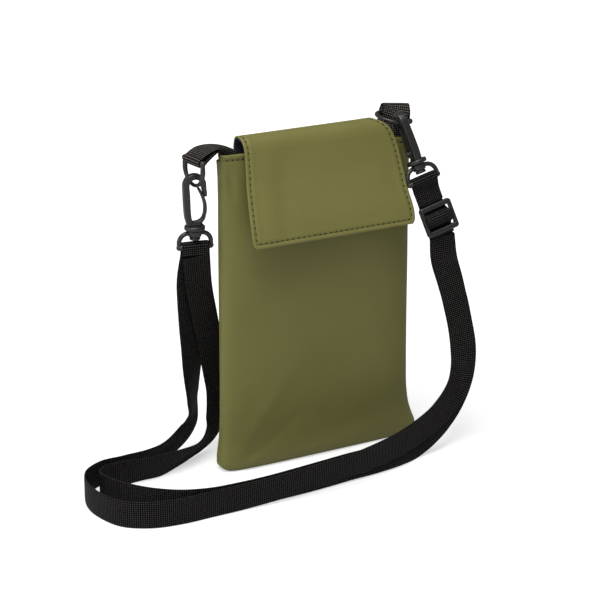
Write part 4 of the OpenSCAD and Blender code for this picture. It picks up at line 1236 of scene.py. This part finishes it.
# %% Front and back panels
SHELL_T = 1.0
heights = np.unique(np.concatenate([np.linspace(0, 0.06, 16), np.linspace(0.06, 0.9, 90),
                                    np.linspace(0.9, 0.997, 44)]))
front = wall_grid(-1, SHELL_T / 2, heights)
front[..., 1] -= soft_folds(front[..., 0], front[..., 2]) * np.clip(front[..., 2] / 6, 0, 1)
below = np.concatenate([np.ones(6), 1 - heights])[:, None] * (BODY_H + FRONT_RISE / 2)
hem = 0.35 * np.exp(-((below - 3.1) / 0.8) ** 2) - 0.3 * np.exp(-((below - 1.3) / 1.1) ** 2)
front[..., 1] += hem * np.clip(-front[..., 1] / 3, 0, 1)
back_wall = wall_grid(1, SHELL_T / 2, heights)
put_cloth("shell_front", front, SHELL_T, olive, "pouch", "pu_olive", "front_panel")
put_cloth("shell_back", back_wall, SHELL_T, olive, "pouch", "pu_olive", "back_panel")

# %% [markdown]
# ## Linings and the turned-in band
# The linings hang just inside the shell, so they are the same surface, moved inwards, and
# they can't cut through it. Only the front one stands off round the hidden magnet. At the
# mouth the shell's own cloth is turned in as a band, which shows above the lining.

# %% Linings and the turned-in band
LINING_T, LINING_AT, BAND_T, MAGNET_SHARE = 0.5, 1.45, 0.8, 0.8125
MAGNET_STAND, MAGNET_R = 2.6, 10.5


def magnet_bump(away):
    """How far a lining stands off at a distance from the magnet's middle: height over 1 + r^6."""
    return MAGNET_STAND / (1 + (away / MAGNET_R) ** 6)


lining_h = np.linspace(0.004, 0.925, 70)
grid = wall_grid(-1, LINING_AT, lining_h, 101)
magnet_z = MAGNET_SHARE * (BODY_H + FRONT_RISE / 2)
grid[..., 1] += magnet_bump(np.hypot(grid[..., 0], grid[..., 2] - magnet_z))
put_cloth("lining_front", grid, LINING_T, navy, "pouch", "navy_lining", "front_lining", turns=2)
grid = wall_grid(1, LINING_AT, np.linspace(0.004, 0.985, 74), 101)
put_cloth("lining_back", grid, LINING_T, navy, "pouch", "navy_lining", "back_lining", turns=2)
band_h = np.linspace(0.937, 0.997, 12)
grid = wall_grid(-1, LINING_AT, band_h, 121)[6:, 6:-6]
put_cloth("mouth_band", grid, BAND_T, olive, "pouch", "pu_olive", "mouth_facing", turns=3)

# %% [markdown]
# ## The flap
# The flap is one sheet that rises from the back panel, folds over the mouth and hangs in
# front. Bending a flat sheet with a modifier would give one even radius, but the real fold is
# tight at the back and soft in front. So it is a curve seen from the side, and its left and
# right edges are two more curves along it. The tables give them as shares of its sizes.

# %% Shape of the flap
REACH, RISE, DROP, FLAP_L, FLAP_R = 24.8, 12.4, 55.0, 49.5, 41.0
bridge_rows = np.array([
    [-0.306, 0, 0.99, 0.93], [-0.308, 0.22, 0.995, 0.92], [-0.303, 0.45, 1, 0.91],
    [-0.285, 0.66, 1, 0.905], [-0.245, 0.85, 1, 0.90], [-0.180, 0.965, 1, 0.90],
    [-0.100, 1, 1, 0.907], [-0.010, 0.985, 1, 0.934], [0.080, 0.93, 1, 0.98],
    [0.150, 0.85, 1, 1.026], [0.202, 0.73, 1, 1.072]])
drop_rows = np.array([
    [0.262, 0.055, 1, 1.120], [0.305, 0.12, 1.005, 1.152], [0.350, 0.19, 1.01, 1.178],
    [0.410, 0.28, 1.02, 1.198], [0.490, 0.39, 1.035, 1.212], [0.590, 0.50, 1.05, 1.220],
    [0.645, 0.56, 1.057, 1.222], [0.700, 0.62, 1.063, 1.226], [0.755, 0.68, 1.069, 1.235],
    [0.810, 0.74, 1.074, 1.248], [0.860, 0.80, 1.077, 1.260], [0.905, 0.86, 1.080, 1.268],
    [0.950, 0.925, 1.080, 1.266], [0.980, 0.970, 1.070, 1.250], [1, 1, 1.040, 1.212]])
fold_z = BODY_H + 0.73 * RISE
flap_y = np.concatenate([-bridge_rows[:, 0], -drop_rows[:, 0]]) * REACH
flap_z = np.concatenate([BODY_H + bridge_rows[:, 1] * RISE, fold_z - drop_rows[:, 1] * DROP])
flap_wide = np.concatenate([bridge_rows[:, 2:], drop_rows[:, 2:]]) * [FLAP_L, FLAP_R]
flap_run = lengths(np.stack([flap_y, flap_z], 1))
FLAP_LONG = flap_run[-1]
print("flap is", FLAP_LONG.round(1), "mm long from its root")

# %% [markdown]
# A point of the flap is its distance from the root and its place across. Its height and
# depth come from the side curve, and layers are moved along that curve's own normal, so the
# shell and the lining keep their distance all round the fold.

# %% Flap surface
def flap_side(s):
    """Side view of the flap at distances s along it: y, z and the outward direction."""
    y, z = through(s, flap_run, flap_y), through(s, flap_run, flap_z)
    dy, dz = np.gradient(y, s), np.gradient(z, s)
    size = np.hypot(dy, dz)
    return y, z, dz / size, -dy / size


def flap_point(s, x, inset):
    """Flap points in millimetres at distance s, place x and depth inset below the outside."""
    y, z, ny, nz = flap_side(s)
    return np.stack(np.broadcast_arrays(x, (y - ny * inset)[:, None], (z - nz * inset)[:, None]),
                    2)


def edge_x(s, edge_in):
    """Left and right edges of the flap at distances s, moved inwards."""
    left = -through(s, flap_run, flap_wide[:, 0]) + edge_in
    return left, through(s, flap_run, flap_wide[:, 1]) - edge_in


print("flap is", np.ptp(edge_x(flap_run, 0), axis=0).max().round(1), "mm wide at most")

# %% [markdown]
# ## Grooves and waves of the flap
# Edge stitching pulls the two layers together, so the cloth has a groove there and puffs up
# on both sides of it. A bump map would vanish at the outline, so groove and puff are real
# depths that follow the distance to the nearest edge. A few broad waves keep the front from
# looking like a plate.

# %% Grooves and waves
SEAM_IN = 2.6


def flap_grid(s, edge_in, inset, columns=121):
    """Middle surface of a flap layer; columns run from right to left, closer at the edges."""
    left, wide = edge_x(s, edge_in)
    t = np.linspace(0, 1, columns)
    t = 0.45 * t + 0.55 * (0.5 - 0.5 * np.cos(np.pi * t))
    x = wide[:, None] + (left - wide)[:, None] * t[None]
    return flap_point(s, x, inset), x


def seam_dip(s, x):
    """Depth of the groove that the edge stitching pulls in, in millimetres."""
    left, wide = edge_x(s, 0)
    edge = np.minimum(x - left[:, None], wide[:, None] - x)
    edge = np.minimum(edge, (FLAP_LONG - s)[:, None])
    on = np.clip((s - 9) / 6, 0, 1)[:, None]
    puff = 0.16 * np.exp(-((edge - 1.1) / 0.9) ** 2) + 0.12 * np.exp(-((edge - 4.6) / 1.4) ** 2)
    return on * (0.40 * np.exp(-((edge - SEAM_IN) / 0.8) ** 2) - puff)


def flap_waves(x, s):
    """Shallow waves of the flap, in millimetres: soft ridges across its front face."""
    front_part = np.clip((s - 26) / 20, 0, 1) * np.clip((FLAP_LONG - s) / 5, 0, 1)
    wave = 0.45 * np.exp(-((x + 40 + 0.12 * (s - 60)) / 6) ** 2)
    wave -= 0.35 * np.exp(-((x + 29 + 0.1 * (s - 60)) / 6) ** 2)
    wave += 0.35 * np.exp(-((x - 34 - 0.15 * (s - 60)) / 7) ** 2)
    wave -= 0.3 * np.exp(-((x - 8) / 16) ** 2 - ((s - 62) / 14) ** 2)
    return front_part * wave


halfway = np.array([50.0])
groove = seam_dip(halfway, edge_x(halfway, SEAM_IN)[0][:, None])
print("groove at the side seam:", round(groove.item(), 2), "mm")

# %% [markdown]
# ## The flap's cloth
# The measured model bends the flap at two lines only, as a hinge does. One sheet that rides
# on one body would tear there, so the sheet rides on no body and stays where it is drawn.

# %% Flap shell
FLAP_T = 1.2
s = np.concatenate([np.linspace(0.4, 30, 70), np.linspace(30.6, FLAP_LONG - 4, 70),
                    np.linspace(FLAP_LONG - 3.8, FLAP_LONG - 0.6, 12)])
flap_bend = ("flap_top", "flap_front", (0, -0.0020, 0.1965), (0, -0.0080, 0.1935))
grid, x = flap_grid(s, FLAP_T / 2, FLAP_T / 2)
dip = seam_dip(s, x) - flap_waves(x, s[:, None])
y, z, ny, nz = flap_side(s)
grid[..., 1] -= ny[:, None] * dip
grid[..., 2] -= nz[:, None] * dip
put_cloth("flap_shell", grid, FLAP_T, olive, flap_bend, "pu_olive", "flap_bridge", "flap_drop")

# %% [markdown]
# ## The flap's lining
# The lining is the same surface, a little inside the shell and a little smaller, because it
# is sewn into the turned edge. Round the hidden magnet it stands off, which shows as a soft
# round when the flap is open.

# %% Flap lining
FLAP_LINING_AT = 1.55
s_lining = np.linspace(0.5, FLAP_LONG - 2.2, 110)
lining_in = np.interp(s_lining, [18, 30], [0.2, 1.2])
grid, x = flap_grid(s_lining, lining_in, FLAP_LINING_AT, 81)
mid_s = flap_run[len(bridge_rows) + 8]
stand = magnet_bump(np.hypot(x, s_lining[:, None] - mid_s))
y, z, ny, nz = flap_side(s_lining)
grid[..., 1] -= ny[:, None] * stand
grid[..., 2] -= nz[:, None] * stand
put_cloth("flap_lining", grid, LINING_T, navy, flap_bend, "navy_lining", "flap_bridge_lining",
          "flap_drop_lining", turns=2)

# %% [markdown]
# ## Stitches
# Each stitch is a short bead of thread that dips into the cloth at both ends. An array
# modifier on a curve would do, but it has to be applied and can't lie square on the cloth.
# One small bead of a few dozen faces is copied along a line of points instead, with the
# cloth's own normal, at the real stitch length.

# %% Stitch helper
BEAD_RINGS, BEAD_SIDES = 6, 8
BEAD_POINTS = BEAD_RINGS * BEAD_SIDES


def stitches(line, normals, pitch, long, wide, proud):
    """Beads along a line in millimetres: centre, direction and normal from the line."""
    run = lengths(line)
    count = int(run[-1] // pitch)
    at = (np.arange(count) + 0.5) * run[-1] / count
    centre = np.stack([np.interp(at, run, c) for c in line.T], 1)
    t = unit(np.stack([np.interp(at, run, c) for c in np.gradient(line, run, axis=0).T], 1))
    n = unit(np.stack([np.interp(at, run, c) for c in normals.T], 1))
    b = np.cross(n, t)
    a = np.linspace(0, 2 * np.pi, BEAD_SIDES, endpoint=False)
    along = np.linspace(-1, 1, BEAD_RINGS)
    size = np.sqrt(np.clip(1 - along ** 2, 0.02, 1))
    bead = np.stack(np.broadcast_arrays(
        (along * long / 2)[:, None], np.cos(a)[None] * size[:, None] * wide / 2,
        np.sin(a)[None] * size[:, None] * wide / 2), 2).reshape(-1, 3)
    points = (centre[:, None] + bead[None, :, :1] * t[:, None] + bead[None, :, 1:2] * b[:, None]
              + (bead[None, :, 2:] + proud) * n[:, None])
    one = grid_faces(BEAD_RINGS, BEAD_SIDES, wrap=True)
    k = np.arange(BEAD_SIDES)
    caps = [k[::-1][None], (BEAD_POINTS - BEAD_SIDES + k)[None]]
    offset = (np.arange(count) * BEAD_POINTS)[:, None, None]
    faces = [(one[None] + offset).reshape(-1, 4)]
    faces += [(cap[None] + offset).reshape(-1, BEAD_SIDES) for cap in caps]
    return points.reshape(-1, 3) * MM, faces


test_line = np.stack([np.linspace(0, 34, 9), np.zeros(9), np.zeros(9)], 1)
test_up = np.tile([0, 0, 1.0], (9, 1))
beads = len(stitches(test_line, test_up, 3.4, 2.5, 0.7, 0)[0]) // BEAD_POINTS
print("34 mm of seam has", beads, "beads")

# %% [markdown]
# A sewn line shows two things: the thread, and the dark needle holes it goes into. Thread
# alone looks like a string of pearls, so each row gets thread beads and dark beads of painted
# shade in the holes.

# %% Row of stitches
def stitch_row(name, line, out, pitch, bend):
    """Thread beads along a line, and a dark bead of painted shade in the needle hole between each
    pair.
    """
    points, faces = stitches(line + out * -0.20, out, pitch, pitch - 0.9, 0.7, 0.02)
    finish_piece(put_mesh(name + "_thread", points, faces, olive_thread), bend, "pu_olive")
    run = lengths(line)
    part = np.interp(np.linspace(pitch / 2, run[-1] - pitch / 2, 400), run, np.arange(len(run)))
    low = np.clip(part.astype(int), 0, len(run) - 2)
    w = (part - low)[:, None]
    moved = line[low] * (1 - w) + line[low + 1] * w
    turned = out[low] * (1 - w) + out[low + 1] * w
    # Dark beads in the needle holes: painted shade of the holes.
    points, faces = stitches(moved + turned * -0.16, turned, pitch, 1.15, 0.85, 0.02)
    finish_piece(put_mesh(name + "_holes", points, faces, hole_painted_shade), bend, "pu_olive")


print("stitch rows come in two colours:", olive_thread.name, hole_painted_shade.name)

# %% [markdown]
# ## Stitching of the flap
# One row runs down the left edge, round the hem and up the right edge. It is drawn flat, as
# place and distance along the flap, with round corners, and then laid on the curved surface,
# so that it always keeps the same distance from the edge.

# %% Flap stitching
STITCH_IN, HEM_IN, BEND, FLAP_PITCH = 2.4, 3.0, 2.0, 3.4
s_edge = np.linspace(11, FLAP_LONG - HEM_IN - BEND, 150)
left, wide = edge_x(s_edge, STITCH_IN)
end_s = FLAP_LONG - HEM_IN
turn_l = arc((left[-1] + BEND, end_s - BEND), BEND, 180, 90, 6)[1:]
turn_r = arc((wide[-1] - BEND, end_s - BEND), BEND, 90, 0, 6)[:-1]
flat_x = np.linspace(turn_l[-1, 0], turn_r[0, 0], 80)[1:-1]
seam = np.concatenate([np.stack([left, s_edge], 1), turn_l,
                       np.stack([flat_x, np.full(78, end_s)], 1), turn_r,
                       np.stack([wide, s_edge], 1)[::-1]])
seam_s = seam[:, 1]
y, z = through(seam_s, flap_run, flap_y), through(seam_s, flap_run, flap_z)
fine_s = np.linspace(0, FLAP_LONG, 600)
_, _, fine_ny, fine_nz = flap_side(fine_s)
ny, nz = np.interp(seam_s, fine_s, fine_ny), np.interp(seam_s, fine_s, fine_nz)
out = np.stack([np.zeros_like(ny), ny, nz], 1)
lift = flap_waves(seam[:, 0], seam_s)[:, None]
line = np.stack([seam[:, 0], y, z], 1) + out * (lift - 0.12)
stitch_row("flap_stitch", line, out, FLAP_PITCH, flap_bend)

# %% [markdown]
# ## Stitching of the mouth
# The hem of the mouth is sewn all round, just below the edge. Each panel's row follows one
# line of its own grid, and the normal comes from two neighbouring lines. The ends are left
# out, where the rows would meet the side seams and the clip.

# %% Mouth stitching
MOUTH_PITCH = 3.2


def mouth_row(name, side, high, skip):
    """A row of stitches round one panel at a share of its height.

    skip is the first and the last place on the row that is sewn, counted from its two ends."""
    rows = wall_grid(side, 0, np.array([high - 0.009, high]), 241)[-2:]
    along, risen = np.gradient(rows[1], axis=0), rows[1] - rows[0]
    out = unit(np.cross(along, risen))
    out = out * np.sign(side * out[len(out) // 2, 1])
    row = slice(*skip)
    stitch_row(name, rows[1][row] - out[row] * 0.1, out[row], MOUTH_PITCH, "pouch")


mouth_row("mouth_stitch", -1, 0.983, (4, -12))
mouth_row("back_stitch", 1, 0.980, (12, -12))

# %% [markdown]
# ## Floor
# The floor is plain and pale and keeps the object's soft shadow. A brighter lamp would bleach
# it and the cloth as well, so the white comes from a glow that only the camera sees. The glow
# grows with the distance from the object, and close to it the real shadow stays.

# %% Floor
FLOOR_HALF, NEAR_GLOW, FAR_GLOW, GLOW_SLOPE = 6, 0.47, 0.50, 1.1
floor_mesh = bpy.data.meshes.new("floor")
floor_mesh.from_pydata([(-FLOOR_HALF, -FLOOR_HALF, 0), (FLOOR_HALF, -FLOOR_HALF, 0),
                        (FLOOR_HALF, FLOOR_HALF, 0), (-FLOOR_HALF, FLOOR_HALF, 0)], [],
                       [(0, 1, 2, 3)])
floor = bpy.data.objects.new("floor", floor_mesh)
bpy.context.scene.collection.objects.link(floor)
floor_material, tree, shader = new_material("floor_white")
shader.inputs["Base Color"].default_value = (0.72, 0.72, 0.72, 1)
shader.inputs["Roughness"].default_value = 0.9
shader.inputs["Specular IOR Level"].default_value = 0.0
seen = node(tree, "ShaderNodeLightPath").outputs["Is Camera Ray"]
shader.inputs["Emission Color"].default_value = (1, 1, 1, 1)
spot = node(tree, "ShaderNodeTexCoord").outputs["Object"]
reach = node(tree, "ShaderNodeVectorMath", operation="LENGTH")
tree.links.new(spot, reach.inputs[0])
away = math(tree, "MULTIPLY", reach.outputs["Value"], GLOW_SLOPE, clamp=True)
glow = math(tree, "ADD", math(tree, "MULTIPLY", away, FAR_GLOW), NEAR_GLOW)
tree.links.new(math(tree, "MULTIPLY", seen, glow), shader.inputs["Emission Strength"])
floor_mesh.materials.append(floor_material)
print("floor is", 2 * FLOOR_HALF, "m wide")

# %% [markdown]
# ## World and lamps
# A studio has one large soft light above and a weaker one in front, and a small one at the
# left brightens that side of the clips. Point lamps would throw hard shadows, so all three
# are wide squares. The world adds a little light from everywhere, and the camera sees it as
# white.

# %% World
SKY_LIGHT = 0.25
world = bpy.data.worlds.new("studio")
bpy.context.scene.world = world
world.use_nodes = True
tree = world.node_tree
background = tree.nodes["Background"]
seen = node(tree, "ShaderNodeLightPath").outputs["Is Camera Ray"]
level = math(tree, "ADD", math(tree, "MULTIPLY", seen, 1 - SKY_LIGHT), SKY_LIGHT)
tree.links.new(level, background.inputs["Strength"])
background.inputs["Color"].default_value = (1, 1, 1, 1)
print("the world lights the object with strength", SKY_LIGHT)

# %% [markdown]
# Each lamp is turned by three directions worked out from where it stands and what it points
# at, as the camera is.

# %% Lamps
def lamp(name, place, aim, size, power):
    """A square soft lamp that points at a place."""
    data = bpy.data.lights.new(name, "AREA")
    data.shape = "SQUARE"
    data.size = size
    data.energy = power
    obj = bpy.data.objects.new(name, data)
    z = unit(np.array(place, float) - np.array(aim, float))
    x = unit(np.cross([0, 0, 1.0], z) + np.array([1e-6, 0, 0]))
    y = np.cross(z, x)
    m = np.eye(4)
    m[:3, 0], m[:3, 1], m[:3, 2], m[:3, 3] = x, y, z, place
    obj.matrix_world = Matrix(m.tolist())
    bpy.context.scene.collection.objects.link(obj)
    print(name, power, "W, side", size, "m")


lamp("top_lamp", (-0.4, -0.3, 1.25), (0, 0, 0.08), 0.9, 14)
lamp("front_lamp", (-1.1, -1.3, 0.9), (0, 0, 0.1), 1.1, 3.3)
lamp("left_lamp", (-1.4, 0.1, 0.5), (-0.05, 0, 0.12), 0.6, 3.5)

# %% [markdown]
# ## Magnets
# The two magnet discs lie behind the linings and are never seen. The measured model's plain
# discs are already right, so they keep their mesh and only get the plated finish.

# %% Magnets keep their measured shape
for name in ("front_magnet", "flap_magnet"):
    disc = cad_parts[name]
    for k in range(len(disc.data.materials)):
        disc.data.materials[k] = magnet_steel
    print(name, "slots:", len(disc.data.materials))

# %% [markdown]
# ## Last settings
# Colours are shown as they are, because a film look would change the cloth's colour.

# %% Settings, and a helper for sizes
bpy.context.scene.view_settings.view_transform = "Standard"
print("view transform:", bpy.context.scene.view_settings.view_transform)


def corners(b):
    """Bounds as plain lists."""
    return [[float(v) for v in p] for p in b]
